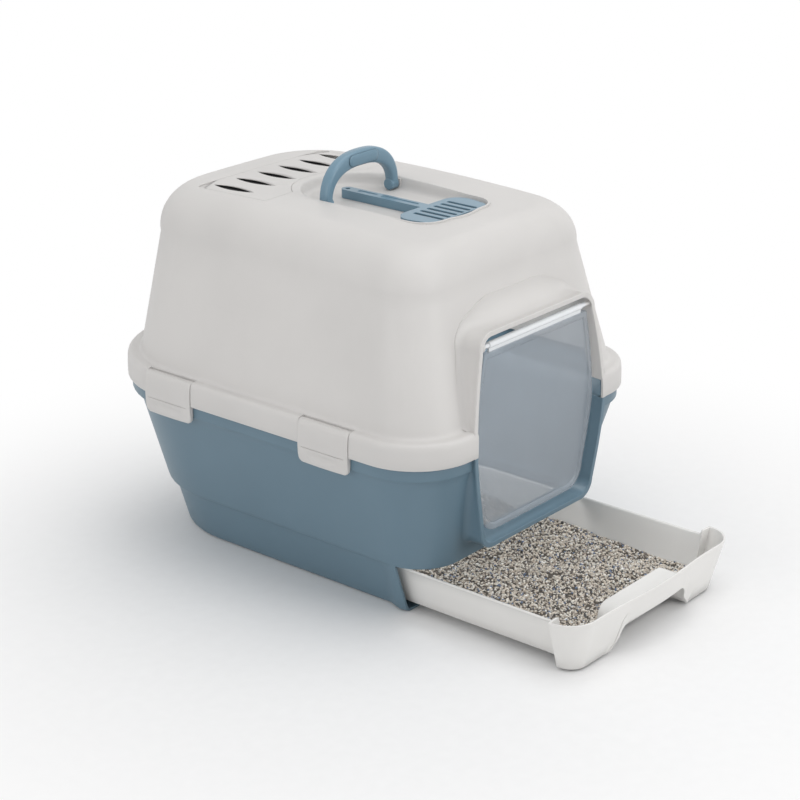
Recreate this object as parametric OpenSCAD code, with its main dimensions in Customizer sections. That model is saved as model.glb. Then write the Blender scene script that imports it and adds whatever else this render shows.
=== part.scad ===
// Drawer litter box: a hooded tray with a swinging flap, a pull-out litter drawer and a filter.
// X runs across, -Y is the front where the flap and the drawer are, Z is up, the floor is at 0.

/* [Overall] */
// length of the skirt from front to rear
overall_length = 574; // [560:1:690]
// width of the skirt
overall_width = 450; // [430:1:540]
// height of the flat top above the floor
overall_height = 465; // [450:1:560]
// wall of the two shells
wall = 3; // [2.5:0.5:4]

/* [Base] */
// height of the underside of the rim that the clips grip
rim_height = 203; // [190:1:215]
// height of the visible rim below the skirt
rim_band = 16.5; // [10:0.5:22]
// how far the rim stays inside the edge of the skirt
rim_inset = 5.2; // [4:0.1:8]
// how far the rim stands out from the wall below it
rim_overhang = 4.1; // [2:0.1:8]
// how much the side wall leans in per millimetre of height
side_lean = 0.32; // [0.28:0.01:0.34]
// how much the front wall leans in per millimetre of height
front_lean = 0.23; // [0.18:0.01:0.28]
// how much the rear wall leans in per millimetre of height
rear_lean = 0.075; // [0.05:0.005:0.15]
// depth of the step below which the wall sits back
step_depth = 7.5; // [3:0.5:8]
// height of the step
step_height = 70; // [66:1:76]
// radius of the rear corners at the skirt
rear_radius = 151; // [120:1:170]
// radius of the front corners at the skirt
front_radius = 83; // [70:1:100]
// how far the ends of the side walls stay behind the front of the skirt
post_setback = 89; // [88:1:105]
// depth of the thick post at the end of each side wall
post_depth = 17; // [10:1:25]
// width of each runner under the drawer
runner_width = 5; // [3:0.5:10]
// distance of each runner from the middle
runner_offset = 95; // [60:1:110]

/* [Hood] */
// height of the skirt, from its lower edge to its ledge
skirt_height = 31.5; // [26:0.5:40]
// width of the ledge round the foot of the wall
ledge_width = 11; // [8:0.5:16]
// thickness of the ledge
ledge_thickness = 8; // [7:0.5:10]
// how much the side wall of the hood leans in per millimetre of height
hood_side_lean = 0.2; // [0.15:0.01:0.24]
// how much the front wall of the hood leans in per millimetre of height
hood_front_lean = 0.24; // [0.18:0.01:0.28]
// how much the rear wall of the hood leans in per millimetre of height
hood_rear_lean = 0.26; // [0.18:0.01:0.28]
// height of the rounded edge between the walls and the top
top_round = 52; // [40:1:60]
// spread of that edge at the sides
side_round = 46; // [30:1:50]
// spread of that edge at the front
front_round = 31; // [20:1:40]
// spread of that edge at the rear
rear_round = 22; // [15:1:40]

/* [Doorway] */
// half of the doorway frame at its widest
bay_half = 132; // [120:1:150]
// half of the doorway frame near its top
bay_top_half = 108; // [100:1:115]
// half of the doorway frame near its bottom
bay_bottom_half = 108; // [100:1:115]
// height of the bottom of the doorway frame
bay_bottom = 93.5; // [85:0.5:100]
// height of the top of the doorway frame
bay_top = 362.5; // [350:0.5:372]
// thickness of the doorway frame
bay_wall = 5; // [4:0.5:7]
// gap between the flap and the doorway frame
flap_gap = 5.5; // [4.5:0.5:8]
// thickness of the flap
flap_thickness = 2.5; // [2:0.5:4]
// how much further in the sides of the flap run towards its bottom
flap_taper = 7; // [2:1:12]
// width of the raised border of the flap
flap_border = 8; // [5:0.5:12]
// height of the flap's bar below the top of the doorway frame
flap_drop = 16.5; // [14:0.5:22]
// how far the flap sits behind the foremost point of the frame
flap_setback = 15; // [12:0.5:20]
// radius of the bar along the top of the flap
flap_bar_radius = 4; // [3:0.1:5]
// radius of the flap's trunnions
flap_pin_radius = 2.8; // [2:0.1:3]

/* [Top] */
// radius of the round rear end of the recess
recess_radius = 73; // [71:0.5:78]
// half of the recess at its front
recess_front_half = 68.5; // [64:0.5:71]
// distance from the handle's pivot to the front of the recess
recess_reach = 169; // [165:1:180]
// depth of the recess
recess_depth = 14; // [13:0.5:17]
// half of the vent cover
cover_half = 118; // [112:0.5:122]
// distance from the handle's pivot to the front edge of the vent cover
cover_start = 51; // [48:0.5:56]
// distance from the handle's pivot to the rear edge of the vent cover
cover_end = 168; // [164:0.5:169]
// radius of the arc of the vent cover round the recess
cover_arc = 85; // [81:0.5:90]
// gap round the vent cover
cover_gap = 0.4; // [0.3:0.1:0.8]
// number of vent slots
vent_count = 6; // [3:1:7]
// distance from one vent slot to the next
vent_pitch = 39.3; // [24:0.1:39.5]
// length of a vent slot
vent_length = 65; // [50:1:70]
// width of a vent slot
vent_width = 13; // [8:0.5:20]
// thickness of the filter pad
filter_thickness = 7; // [4:0.5:8]
// half of the filter pad
filter_half = 106; // [100:0.5:108]
// depth of the filter pad from front to rear
filter_depth = 76; // [70:0.5:78]

/* [Handle] */
// height of the pivot above the floor of the recess
pivot_height = 8; // [7.5:0.1:9]
// half of the handle outside
handle_half = 69; // [64:0.5:70]
// height of the handle above its pivot
handle_rise = 58; // [50:0.5:64]
// thickness of the arms of the handle
handle_arm = 14; // [10:0.5:17]
// thickness of the grip at the top of the handle
handle_grip = 23; // [16:0.5:25]
// depth of the handle from front to rear
handle_depth = 15; // [12:0.5:15]
// radius of the handle's trunnions
handle_pin_radius = 3; // [2:0.1:3.4]

/* [Scoop] */
// half of the scoop's blade
blade_half = 60; // [50:0.5:63]
// length of the scoop's blade
blade_length = 58; // [50:0.5:60]
// height of the blade's plate above the floor of the recess
blade_height = 9; // [7:0.5:11]
// thickness of the scoop
scoop_thickness = 2.2; // [1.6:0.2:3]
// number of slots in the blade
blade_slots = 6; // [3:1:8]
// distance from one slot to the next
blade_pitch = 13; // [9:0.5:14]
// width of a slot in the blade
blade_slot_width = 4.6; // [3:0.2:6]
// half of the scoop's handle
scoop_bar_half = 8; // [6:0.5:10]
// length of the scoop's handle
scoop_bar_length = 131; // [115:1:133]

/* [Clips] */
// width of a clip
clip_width = 78; // [60:1:84]
// how far a clip reaches below the rim
clip_reach = 6; // [3:0.5:9]
// thickness of a clip
clip_thickness = 4.5; // [3:0.5:5]
// distance from the middle of the skirt to the middle of the front clips
front_clip_y = -132; // [-140:1:-110]
// distance from the middle of the skirt to the middle of the rear clips
rear_clip_y = 125; // [100:1:130]
// radius of the pins of a clip
clip_pin_radius = 1.5; // [1:0.1:2]

/* [Drawer] */
// how far the drawer is pulled out
drawer_out = 223; // [0:1:300]
// half of the tray outside, at its rim
tray_half = 156; // [150:0.5:157]
// height of the rim of the tray
tray_top = 63; // [58:0.5:64]
// height of the underside of the tray
tray_bottom = 11; // [9:0.5:14]
// height of the low rim round the underside of the tray
tray_rim = 0.6; // [0.4:0.1:1.5]
// how much the walls of the tray lean in per millimetre of height
tray_lean = 0.31; // [0.3:0.01:0.35]
// wall of the drawer
drawer_wall = 2.8; // [2:0.2:3.6]
// gap between the rear of the tray and the base when shut
tray_rear_gap = 7; // [4:0.5:12]
// height of the underside of the front panel
panel_bottom = 3; // [2:0.5:6]
// gap between the front panel and the step above it
panel_gap = 1.5; // [1:0.1:3]
// how far the middle of the front panel bows forward
panel_bow = 5; // [0:0.5:8]
// radius of the corners of the front panel
panel_radius = 37; // [28:1:37]
// half of the finger pocket
pocket_half = 62; // [45:1:75]
// depth of the finger pocket from front to rear
pocket_depth = 27; // [20:1:34]
// height of the finger pocket above the underside of the front panel
pocket_height = 34; // [26:1:40]
// depth of the litter
litter_depth = 13; // [6:0.5:24]
// gap between the litter and the walls round it
litter_gap = 1; // [0.8:0.1:2]

/* [Fits] */
// radial clearance of a pin in its hole
pin_clearance = 0.08; // [0.02:0.01:0.1]
// gap between moving pieces
slide_gap = 0.5; // [0.4:0.1:1]
// node to draw

/* [Hidden] */
$fn = 48;
half_w = overall_width / 2;
half_l = overall_length / 2;
// segments in each corner of a shell
corner_steps = 8;
// heights that the two shells share
skirt_bottom = rim_height + rim_band;
ledge_top = skirt_bottom + skirt_height;
rim_top = ledge_top - ledge_thickness;
// pivot of the handle, also the centre of the round end of the recess
pivot_y = 2;
recess_floor = overall_height - recess_depth;
pivot_z = recess_floor + pivot_height;
// hinge line of the flap and how far the flap stays inside the frame
flap_y = flap_setback - half_l;
flap_z = bay_top - flap_drop;
flap_inset = bay_wall + flap_gap;
flap_boss = flap_pin_radius + 3;
flap_boss_start = 104.5;
// the frame reaches this far back
bay_back = 42 - half_l;
// base half sizes just below the rim
base_side = half_w - rim_inset - rim_overhang;
base_end = half_l - rim_inset - rim_overhang;
post_y = post_setback - half_l;
// top and rear edge of the drawer's front panel
panel_top = step_height - panel_gap;
panel_rear = post_y - 1 - drawer_out;
// half of the stretch of the front panel that bows
bow_half = base_side - side_lean * (rim_height - panel_bottom) - panel_radius - 4;
// hinge line of a clip
clip_pivot_x = half_w - 9;
clip_pivot_z = rim_top + 3.7;
clip_barrel = 3.4;
clip_pin_length = 5;
// vent cover and the tub under it
cover_bottom = overall_height - wall;
pad_top = cover_bottom - 0.3;
pad_bottom = pad_top - filter_thickness;
pad_rear = pivot_y + cover_end - 4;
tub_bottom = pad_bottom - wall;
// scoop
blade_rear = pivot_y + 27 - scoop_bar_length;
blade_front = blade_rear - blade_length;
// drawer floor and the top of the finger pocket
tray_floor = tray_bottom + drawer_wall;
pocket_roof = panel_bottom + pocket_height + 13;

// a quarter of an arc
function arc_points(cx, cy, r, a) =
    [for (i = [0:corner_steps])
        let (t = a + 90 * i / corner_steps)
        [cx + r * cos(t), cy + r * sin(t)]];
// rounded outline with its own front and rear corner radii
function outline(hx, yf, yr, rf, rr) = concat(
    arc_points(hx - rr, yr - rr, rr, 0),
    arc_points(-hx + rr, yr - rr, rr, 90),
    arc_points(-hx + rf, yf + rf, rf, 180),
    arc_points(hx - rf, yf + rf, rf, 270));
// an outline set at a height; a row is height, half width, front, rear, front radius, rear radius
function ring(r) = [for (p = outline(r[1], r[2], r[3], r[4], r[5])) [p[0], p[1], r[0]]];

// a solid through a stack of rings that all have the same number of points
module skin(rings) {
    n = len(rings[0]);
    m = len(rings);
    sides = [
        for (k = [0:m - 2])
            for (i = [0:n - 1])
                for (upper = [0, 1])
                    let (a = k * n + i, b = k * n + (i + 1) % n)
                    upper == 1 ? [a, a + n, b + n] : [a, b + n, b]];
    bottom = [for (i = [0:n - 1]) i];
    top = [for (i = [n - 1:-1:0]) (m - 1) * n + i];
    polyhedron(
        points = [for (r = rings) for (p = r) p],
        faces = concat(sides, [bottom], [top]),
        convexity = 8);
}
module loft(rows) {
    skin([for (r = rows) ring(r)]);
}

// the base at a height, taken in by an inset
function base_row(z, inset) =
    let (d = rim_height - z)
    [z,
     base_side - side_lean * d - inset,
     -base_end + front_lean * d + inset,
     base_end - rear_lean * d - inset,
     front_radius - 0.12 * d - inset,
     rear_radius - 0.07 * d - inset];
// the rim, taken in from the edge of the skirt by an inset
function rim_row(z, inset) =
    [z, half_w - inset, inset - half_l, half_l - inset, front_radius - inset, rear_radius - inset];
// the wall of the hood; t runs from 0 on the straight wall to 90 on the flat top
function hood_row(z, t, inset) =
    let (up = min(z, overall_height - top_round) - ledge_top,
         share = max(0, z - ledge_top) / (overall_height - ledge_top),
         foot = rim_inset + ledge_width,
         spread = 1 - cos(t),
         side = inset * cos(t))
    [z - inset * sin(t),
     half_w - foot - hood_side_lean * up - side_round * spread - side,
     foot - half_l + hood_front_lean * up + front_round * spread + side,
     half_l - foot - hood_rear_lean * up - rear_round * spread - side,
     (front_radius - 15) * (1 - share) + 48 * share - side,
     (rear_radius - 13) * (1 - share) + 66 * share - side];
function hood_rows(z0, inset) = concat(
    [hood_row(z0, 0, inset)],
    [for (t = [0:15:60]) hood_row(overall_height - top_round + top_round * sin(t), t, inset)],
    [[overall_height - 1.7 - inset, half_w - 87, 93 - half_l, half_l - 92, 46, 60],
     [overall_height - inset, half_w - 101, 108 - half_l, half_l - 108, 42, 54]]);

// half width of the doorway frame at a height
function bay_width(z) =
    z > skirt_bottom
        ? bay_half - (bay_half - bay_top_half) * pow((z - skirt_bottom) / (bay_top - skirt_bottom), 1.75)
        : bay_half - (bay_half - bay_bottom_half) * pow((skirt_bottom - z) / (skirt_bottom - bay_bottom), 1.3);
// half width of the flap at a height
function flap_width(z) =
    z > skirt_bottom
        ? bay_width(z) - flap_inset - 2.5 * (z - skirt_bottom) / (bay_top - skirt_bottom)
        : bay_width(z) - flap_inset - flap_taper * (skirt_bottom - z) / (skirt_bottom - bay_bottom);
// right half of the doorway outline, taken in by an inset
function bay_side(g) =
    let (r = 22 - 0.6 * g,
         top = bay_top - g,
         bottom = bay_bottom + g,
         wt = bay_width(top - r) - g,
         wb = bay_width(bottom + r) - g)
    concat(
        [for (i = [0:6]) [wb - r + r * sin(15 * i), bottom + r - r * cos(15 * i)]],
        [for (i = [1:9]) let (z = bottom + r + (top - bottom - 2 * r) * i / 10) [bay_width(z) - g, z]],
        [for (i = [0:6]) [wt - r + r * cos(15 * i), top - r + r * sin(15 * i)]]);
// right half of the flap outline, taken in by an inset
function flap_side(g) =
    let (r = 30 - 0.6 * g,
         top = flap_z - flap_bar_radius - 4 - g,
         bottom = bay_bottom + flap_inset + 4 + g,
         wb = flap_width(bottom + r) - g)
    concat(
        [for (i = [0:6]) [wb - r + r * sin(15 * i), bottom + r - r * cos(15 * i)]],
        [for (i = [1:10]) let (z = bottom + r + (top - bottom - r) * i / 10) [flap_width(z) - g, z]]);
module mirrored(right) {
    n = len(right);
    polygon(concat(right, [for (i = [n - 1:-1:0]) [-right[i][0], right[i][1]]]));
}
// an outline in the X-Z plane pushed from y0 to y1
module along_y(y0, y1) {
    translate([0, y1, 0])
        rotate([90, 0, 0])
            linear_extrude(height = y1 - y0)
                children();
}
module bay_prism(g, y0, y1) {
    along_y(y0, y1)
        mirrored(bay_side(g));
}
// side view of the doorway frame with its leaning front edge
module bay_profile(y_back) {
    rotate([90, 0, 90])
        linear_extrude(height = 2 * bay_half + 20, center = true)
            polygon([
                [y_back, bay_bottom - 10],
                [4 - half_l, bay_bottom - 10],
                [3.2 - half_l, bay_bottom + 17],
                [1.4 - half_l, bay_bottom + 60],
                [0.3 - half_l, bay_bottom + 105],
                [-half_l, skirt_bottom],
                [1.8 - half_l, skirt_bottom + 32],
                [5.2 - half_l, skirt_bottom + 80],
                [9.4 - half_l, bay_top - 12],
                [11 - half_l, bay_top + 1],
                [y_back, bay_top + 1]]);
}
// the tunnel of the doorway between two heights
module bay_tunnel(z0, z1) {
    intersection() {
        difference() {
            bay_prism(0, -half_l - 5, bay_back);
            bay_prism(bay_wall, -half_l - 6, bay_back + 1);
        }
        bay_profile(bay_back + 1);
        translate([-half_w, -half_l - 2, z0])
            cube([2 * half_w, 100, z1 - z0]);
    }
}

module base_outside() {
    difference() {
        union() {
            loft([
                base_row(0, 4),
                base_row(1.5, 1.2),
                base_row(5, 0),
                base_row(rim_height, 0)]);
            loft([
                rim_row(rim_height, rim_inset + 1),
                rim_row(rim_height + 1, rim_inset),
                rim_row(rim_top, rim_inset)]);
        }
        // the wall sits back below the step
        difference() {
            translate([-half_w, post_y + post_depth, -1])
                cube([2 * half_w, 2 * half_l, step_height + 1]);
            loft([
                base_row(-2, step_depth + 4),
                base_row(0, step_depth + 4),
                base_row(1.5, step_depth + 1.2),
                base_row(5, step_depth),
                base_row(step_height + 2, step_depth)]);
        }
    }
}
module base_inside() {
    loft([
        base_row(wall, step_depth + wall + 3),
        base_row(wall + 4, step_depth + wall),
        base_row(step_height + wall, step_depth + wall),
        base_row(step_height + wall + 2, wall),
        base_row(rim_height, wall),
        rim_row(rim_height + 3, rim_inset + wall),
        rim_row(rim_top + 1, rim_inset + wall)]);
}
module base() {
    color("steelblue")
        difference() {
            union() {
                difference() {
                    base_outside();
                    base_inside();
                }
                bay_tunnel(0, skirt_bottom);
                for (side = [-1, 1])
                    translate([side * runner_offset - runner_width / 2, post_y, wall - 0.5])
                        cube([runner_width, half_l - post_y - 90, tray_bottom - tray_rim - slide_gap - wall + 0.5]);
            }
            bay_prism(bay_wall, -half_l - 5, bay_back - 1);
            // the rim gives way to the hood's half of the doorway frame
            intersection() {
                bay_prism(-slide_gap, -half_l - 5, bay_back + 1);
                translate([-half_w, -half_l - 10, skirt_bottom])
                    cube([2 * half_w, 90, ledge_top]);
            }
            // mouth for the head of the drawer, and room for the tray between the posts
            translate([-half_w, -half_l - 1, -1])
                cube([2 * half_w, post_y + half_l + 1, step_height + 1]);
            along_y(post_y - 1, post_y + post_depth + 30)
                mirrored([
                    [tray_half + 2.5 - tray_lean * (tray_top - wall), wall],
                    [tray_half + 2.5 + tray_lean * (step_height - tray_top), step_height]]);
        }
}

// foremost line of the drawer's front when shut
function panel_front(z) = -base_end + front_lean * (rim_height - z) + 1.5;
// outline of the drawer: bowed front with round corners, a step in to the tray, a rear that follows the base;
// the head and the tray each have their own height
function drawer_ring(z_head, z_tray, inset) =
    let (hx = base_row(z_head, 0)[1] - 0.7 - inset,
         r = panel_radius - front_lean * (panel_top - z_head) - inset,
         yf = panel_front(z_head) + panel_bow + inset - drawer_out,
         flat = hx - r,
         tx = tray_half - tray_lean * (tray_top - z_tray) - inset,
         rear = base_row(z_tray, step_depth + wall + tray_rear_gap + inset),
         tr = rear_radius - 28 - inset,
         ty = rear[3] - drawer_out,
         head = concat(
             [[0.5 - tx, panel_rear - inset], [-hx, panel_rear - inset - 1]],
             arc_points(-flat, yf + r, r, 180),
             [for (i = [-6:6]) [bow_half * i / 6, yf - panel_bow * (1 + cos(30 * i)) / 2]],
             arc_points(flat, yf + r, r, 270),
             [[hx, panel_rear - inset - 1], [tx - 0.5, panel_rear - inset]]),
         tray = concat(
             [[tx, panel_rear + 2]],
             arc_points(tx - tr, ty - tr, tr, 0),
             arc_points(-tx + tr, ty - tr, tr, 90),
             [[-tx, panel_rear + 2]]))
    concat(
        [for (p = head) [p[0], p[1], z_head]],
        [for (p = tray) [p[0], p[1], z_tray]]);
// arched outline of the finger pocket with flared feet
module pocket_arch(top, g) {
    right = concat(
        [[pocket_half + 24 + g, panel_bottom - 2], [pocket_half + 21 + g, panel_bottom + 5.3]],
        [for (i = [0:5])
            let (t = 18 * i)
            [pocket_half + 4 + g - 16 * (1 - cos(t)), top + g - 18 * (1 - sin(t))]]);
    mirrored(right);
}
// the pocket behind the front panel, its front face leaning like the panel
module pocket_room(g) {
    z0 = g > 0 ? panel_bottom + 1 : panel_bottom - 1;
    z1 = panel_top - 2;
    front = g > 0 ? 1.6 : drawer_wall + 1.7;
    back = panel_front(panel_bottom) + pocket_depth + g - drawer_out;
    intersection() {
        along_y(panel_front(z1) - drawer_out - 10, back)
            pocket_arch(pocket_roof, g);
        rotate([90, 0, 90])
            linear_extrude(height = 2 * half_w, center = true)
                polygon([
                    [panel_front(z0) - drawer_out + front, z0],
                    [back + 1, z0],
                    [back + 1, z1],
                    [panel_front(z1) - drawer_out + front, z1]]);
    }
}
module drawer() {
    color("white")
        difference() {
            union() {
                skin([
                    drawer_ring(tray_bottom, tray_bottom, drawer_wall),
                    drawer_ring(panel_bottom, tray_bottom - tray_rim, drawer_wall),
                    drawer_ring(panel_bottom, tray_bottom - tray_rim, 0),
                    drawer_ring(panel_top, tray_top, 0),
                    drawer_ring(panel_top, tray_top, drawer_wall),
                    drawer_ring(tray_floor, tray_floor, drawer_wall)]);
                pocket_room(drawer_wall);
            }
            // inside of the pocket, and the arch through the panel
            pocket_room(0);
            along_y(panel_front(panel_top) - drawer_out - 5, panel_front(panel_bottom) - drawer_out + 8)
                pocket_arch(panel_bottom + pocket_height, 0);
        }
}
// outline of the litter, which leaves the pocket free; the points where the head's sides end are left out
function litter_ring(z) =
    let (inset = drawer_wall + litter_gap,
         points = drawer_ring(z, z, inset),
         half = pocket_half + 24 + inset,
         front = panel_front(z) + panel_bow + inset - drawer_out,
         back = panel_front(panel_bottom) + pocket_depth + inset - drawer_out,
         first = 2 + corner_steps,
         last = first + 14 + corner_steps)
    concat(
        [for (i = [0:first]) if (i != 1) points[i]],
        [[-half, front - 1, z], [-half, back, z], [half, back, z], [half, front - 1, z]],
        [for (i = [first + 14:len(points) - 1]) if (i != last + 1) points[i]]);
module litter_bed() {
    color("gainsboro")
        translate([0, 0, tray_floor])
            linear_extrude(height = litter_depth)
                polygon([for (p = litter_ring(tray_floor)) [p[0], p[1]]]);
}

// the recess in the top, taken in by an inset
module recess_shape(g) {
    r = 30;
    yc = pivot_y - recess_reach + r + 5;
    translate([0, pivot_y])
        circle(r = recess_radius - g, $fn = 96);
    for (side = [-1, 1])
        translate([side * (recess_front_half - r), yc])
            circle(r = r - g);
    polygon([
        [recess_radius - g, pivot_y],
        [recess_front_half - g, yc],
        [recess_front_half - r, yc - r + g],
        [0, yc - r - 5 + g],
        [r - recess_front_half, yc - r + g],
        [g - recess_front_half, yc],
        [g - recess_radius, pivot_y]]);
}
// the vent cover, taken out by an outset
module cover_shape(g) {
    difference() {
        translate([-cover_half - g, pivot_y + cover_start - g])
            square([2 * (cover_half + g), cover_end - cover_start + 2 * g]);
        translate([0, pivot_y])
            circle(r = cover_arc - g, $fn = 96);
    }
}
module vent_leaf(length, width) {
    r = (length * length + width * width) / (4 * width);
    intersection() {
        translate([r - width / 2, 0])
            circle(r = r, $fn = 96);
        translate([width / 2 - r, 0])
            circle(r = r, $fn = 96);
    }
}
module vent_cover() {
    color("whitesmoke")
        translate([0, 0, cover_bottom])
            linear_extrude(height = wall)
                difference() {
                    cover_shape(0);
                    for (i = [0:vent_count - 1])
                        translate([vent_pitch * (i - (vent_count - 1) / 2), pivot_y + 122])
                            vent_leaf(vent_length, vent_width);
                }
}
module filter_box(g, z0, z1) {
    translate([-filter_half - g, pad_rear - filter_depth - g, z0])
        cube([2 * (filter_half + g), filter_depth + 2 * g, z1 - z0]);
}
module carbon_filter() {
    color("dimgray")
        filter_box(-slide_gap, pad_bottom, pad_top);
}

module clip_notch(y) {
    translate([clip_pivot_x - clip_barrel - 1.1, y - clip_width / 2 - slide_gap, skirt_bottom - 1])
        cube([40, clip_width + 2 * slide_gap, skirt_height + 2]);
    translate([clip_pivot_x, y - clip_width / 2 - clip_pin_length - 0.5, clip_pivot_z])
        rotate([-90, 0, 0])
            cylinder(r = clip_pin_radius + pin_clearance, h = clip_width + 2 * clip_pin_length + 1);
}
module hood_shell() {
    difference() {
        union() {
            loft([
                rim_row(skirt_bottom, 0),
                rim_row(ledge_top - 5, 0.8),
                rim_row(ledge_top - 1.5, 2.8),
                rim_row(ledge_top, 4.8)]);
            loft(hood_rows(ledge_top - 1, 0));
            intersection() {
                bay_prism(0, -half_l - 5, bay_back);
                bay_profile(bay_back);
                translate([-half_w, -half_l - 2, skirt_bottom])
                    cube([2 * half_w, 100, bay_top]);
            }
        }
        loft([rim_row(skirt_bottom - 1, wall), rim_row(rim_top, wall)]);
        loft(hood_rows(rim_top - 1, wall));
    }
}
module hood_tub() {
    // shelf that carries the vent cover
    translate([0, 0, cover_bottom - wall])
        linear_extrude(height = wall)
            cover_shape(wall);
    filter_box(wall, tub_bottom, cover_bottom);
    // floor and wall of the recess
    translate([0, 0, recess_floor - wall])
        linear_extrude(height = recess_depth + wall / 2)
            recess_shape(-wall);
    // blocks that carry the handle
    for (side = [-1, 1])
        translate([side * (handle_half + 6) - 6, pivot_y - 8, recess_floor - wall])
            cube([12, 16, recess_depth]);
}
module hood() {
    color("whitesmoke")
        difference() {
            union() {
                hood_shell();
                bay_tunnel(skirt_bottom, bay_top);
                hood_tub();
                for (side = [-1, 1])
                    translate([side * (flap_boss_start + 2.5), flap_y, flap_z])
                        rotate([0, 90, 0])
                            cylinder(r = flap_boss, h = 5, center = true);
            }
            bay_prism(bay_wall, -half_l - 5, flap_y - flap_boss);
            difference() {
                bay_prism(bay_wall, flap_y - flap_boss - 1, bay_back + 10);
                for (side = [-1, 1])
                    translate([side * (flap_boss_start + 5), flap_y, flap_z])
                        rotate([0, 90, 0])
                            cylinder(r = flap_boss, h = 10, center = true);
            }
            // bores for the flap
            translate([0, flap_y, flap_z])
                rotate([0, 90, 0])
                    cylinder(r = flap_pin_radius + pin_clearance, h = 2 * (flap_boss_start + 6.2), center = true);
            // recess in the top, its blocks stay
            difference() {
                translate([0, 0, recess_floor])
                    linear_extrude(height = recess_depth + 1)
                        recess_shape(0);
                for (side = [-1, 1])
                    translate([side * (handle_half + slide_gap + 10) - 10, pivot_y - 8, recess_floor])
                        cube([20, 16, recess_depth]);
            }
            // bores for the handle
            translate([0, pivot_y, pivot_z])
                rotate([0, 90, 0])
                    cylinder(r = handle_pin_radius + pin_clearance, h = 2 * (handle_half + 7), center = true);
            // opening for the vent cover, the filter's room and the grille below it
            translate([0, 0, cover_bottom])
                linear_extrude(height = wall + 1)
                    cover_shape(cover_gap);
            filter_box(0, pad_bottom, cover_bottom + 1);
            for (i = [0:7])
                translate([(i - 3.5) * filter_half / 4 - 9, pad_rear - filter_depth + 8, tub_bottom - 1])
                    cube([18, filter_depth - 16, wall + 2]);
            for (y = [front_clip_y, rear_clip_y]) {
                clip_notch(y);
                mirror([1, 0, 0])
                    clip_notch(y);
            }
        }
}

// flap with a thicker border, a bar along its top and a trunnion at each end
module door_flap() {
    bar = flap_boss_start - 12;
    color("lightsteelblue")
        union() {
            along_y(flap_y - flap_thickness / 2, flap_y + flap_thickness / 2)
                mirrored(flap_side(0));
            along_y(flap_y - flap_thickness, flap_y + flap_thickness)
                difference() {
                    mirrored(flap_side(0));
                    mirrored(flap_side(flap_border));
                }
            translate([-bar, flap_y - flap_thickness / 2, flap_z - flap_bar_radius - 5])
                cube([2 * bar, flap_thickness, 6]);
            translate([0, flap_y, flap_z])
                rotate([0, 90, 0])
                    cylinder(r = flap_bar_radius, h = 2 * bar, center = true);
            translate([0, flap_y, flap_z])
                rotate([0, 90, 0])
                    cylinder(r = flap_pin_radius, h = 2 * (flap_boss_start + 5.8), center = true);
        }
}

// upper half of an arch with squarish shoulders
function arch_curve(half, rise) =
    [for (i = [0:24])
        let (t = 180 * i / 24, c = cos(t), s = sin(t))
        [half * sign(c) * pow(abs(c), 0.82), rise * pow(abs(s), 0.82)]];
module carry_handle() {
    foot = handle_arm;
    color("cornflowerblue")
        translate([0, pivot_y, pivot_z])
            union() {
                rotate([90, 0, 0])
                    linear_extrude(height = handle_depth, center = true)
                        difference() {
                            polygon(arch_curve(handle_half, handle_rise));
                            polygon(concat(
                                arch_curve(handle_half - handle_arm, handle_rise - handle_grip),
                                [[handle_arm - handle_half, -1], [handle_half - handle_arm, -1]]));
                        }
                for (side = [-1, 1])
                    translate([side * (handle_half - foot / 2), 0, 0])
                        rotate([0, 90, 0])
                            cylinder(r = handle_depth / 2, h = foot, center = true);
                for (side = [-1, 1])
                    translate([side * (handle_half + 2.5), 0, 0])
                        rotate([0, 90, 0])
                            cylinder(r = handle_pin_radius, h = 8, center = true);
                // pad on the front of the grip
                for (side = [-1, 1])
                    translate([side * 20, 0, handle_rise - handle_grip / 2])
                        rotate([90, 0, 0])
                            cylinder(r = 7, h = handle_depth / 2 + 1.2);
                translate([-20, -handle_depth / 2 - 1.2, handle_rise - handle_grip / 2 - 7])
                    cube([40, handle_depth / 2, 14]);
            }
}

// the scoop from above: a bar that widens into a blade with round shoulders
module scoop_shape(g) {
    r = 22;
    shoulder = [for (i = [0:6])
        [blade_half - r + (r - g) * cos(15 * i), blade_rear - r + (r - g) * sin(15 * i)]];
    mirrored(concat(
        [[blade_half - 14 - g, blade_front + g], [blade_half - 6 - g, blade_front + 8]],
        shoulder));
}
module bar_shape(g) {
    end = blade_rear + scoop_bar_length;
    polygon([
        [scoop_bar_half - g, blade_rear - 6],
        [scoop_bar_half - g, end - scoop_bar_half],
        [g - scoop_bar_half, end - scoop_bar_half],
        [g - scoop_bar_half, blade_rear - 6]]);
    translate([0, end - scoop_bar_half])
        circle(r = scoop_bar_half - g);
}
module slot_shape(w, length) {
    polygon([
        [w, w],
        [w, length - w],
        [w / 2, length],
        [-w / 2, length],
        [-w, length - w],
        [-w, w],
        [-w / 2, 0],
        [w / 2, 0]]);
}
module scoop() {
    end = blade_rear + scoop_bar_length;
    color("cornflowerblue")
        translate([0, 0, recess_floor])
            difference() {
                linear_extrude(height = blade_height + scoop_thickness)
                    union() {
                        scoop_shape(0);
                        bar_shape(0);
                    }
                // hollow underneath
                translate([0, 0, -1])
                    linear_extrude(height = blade_height + 1)
                        union() {
                            scoop_shape(scoop_thickness);
                            bar_shape(scoop_thickness);
                        }
                for (i = [0:blade_slots - 1])
                    translate([blade_pitch * (i - (blade_slots - 1) / 2), blade_front + 9, -1])
                        linear_extrude(height = blade_height + scoop_thickness + 2)
                            slot_shape(blade_slot_width / 2, blade_length - 20);
                // hole to hang it by
                translate([0, end - scoop_bar_half, -1])
                    cylinder(r = scoop_bar_half / 2.4, h = blade_height + scoop_thickness + 2);
            }
}

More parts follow.
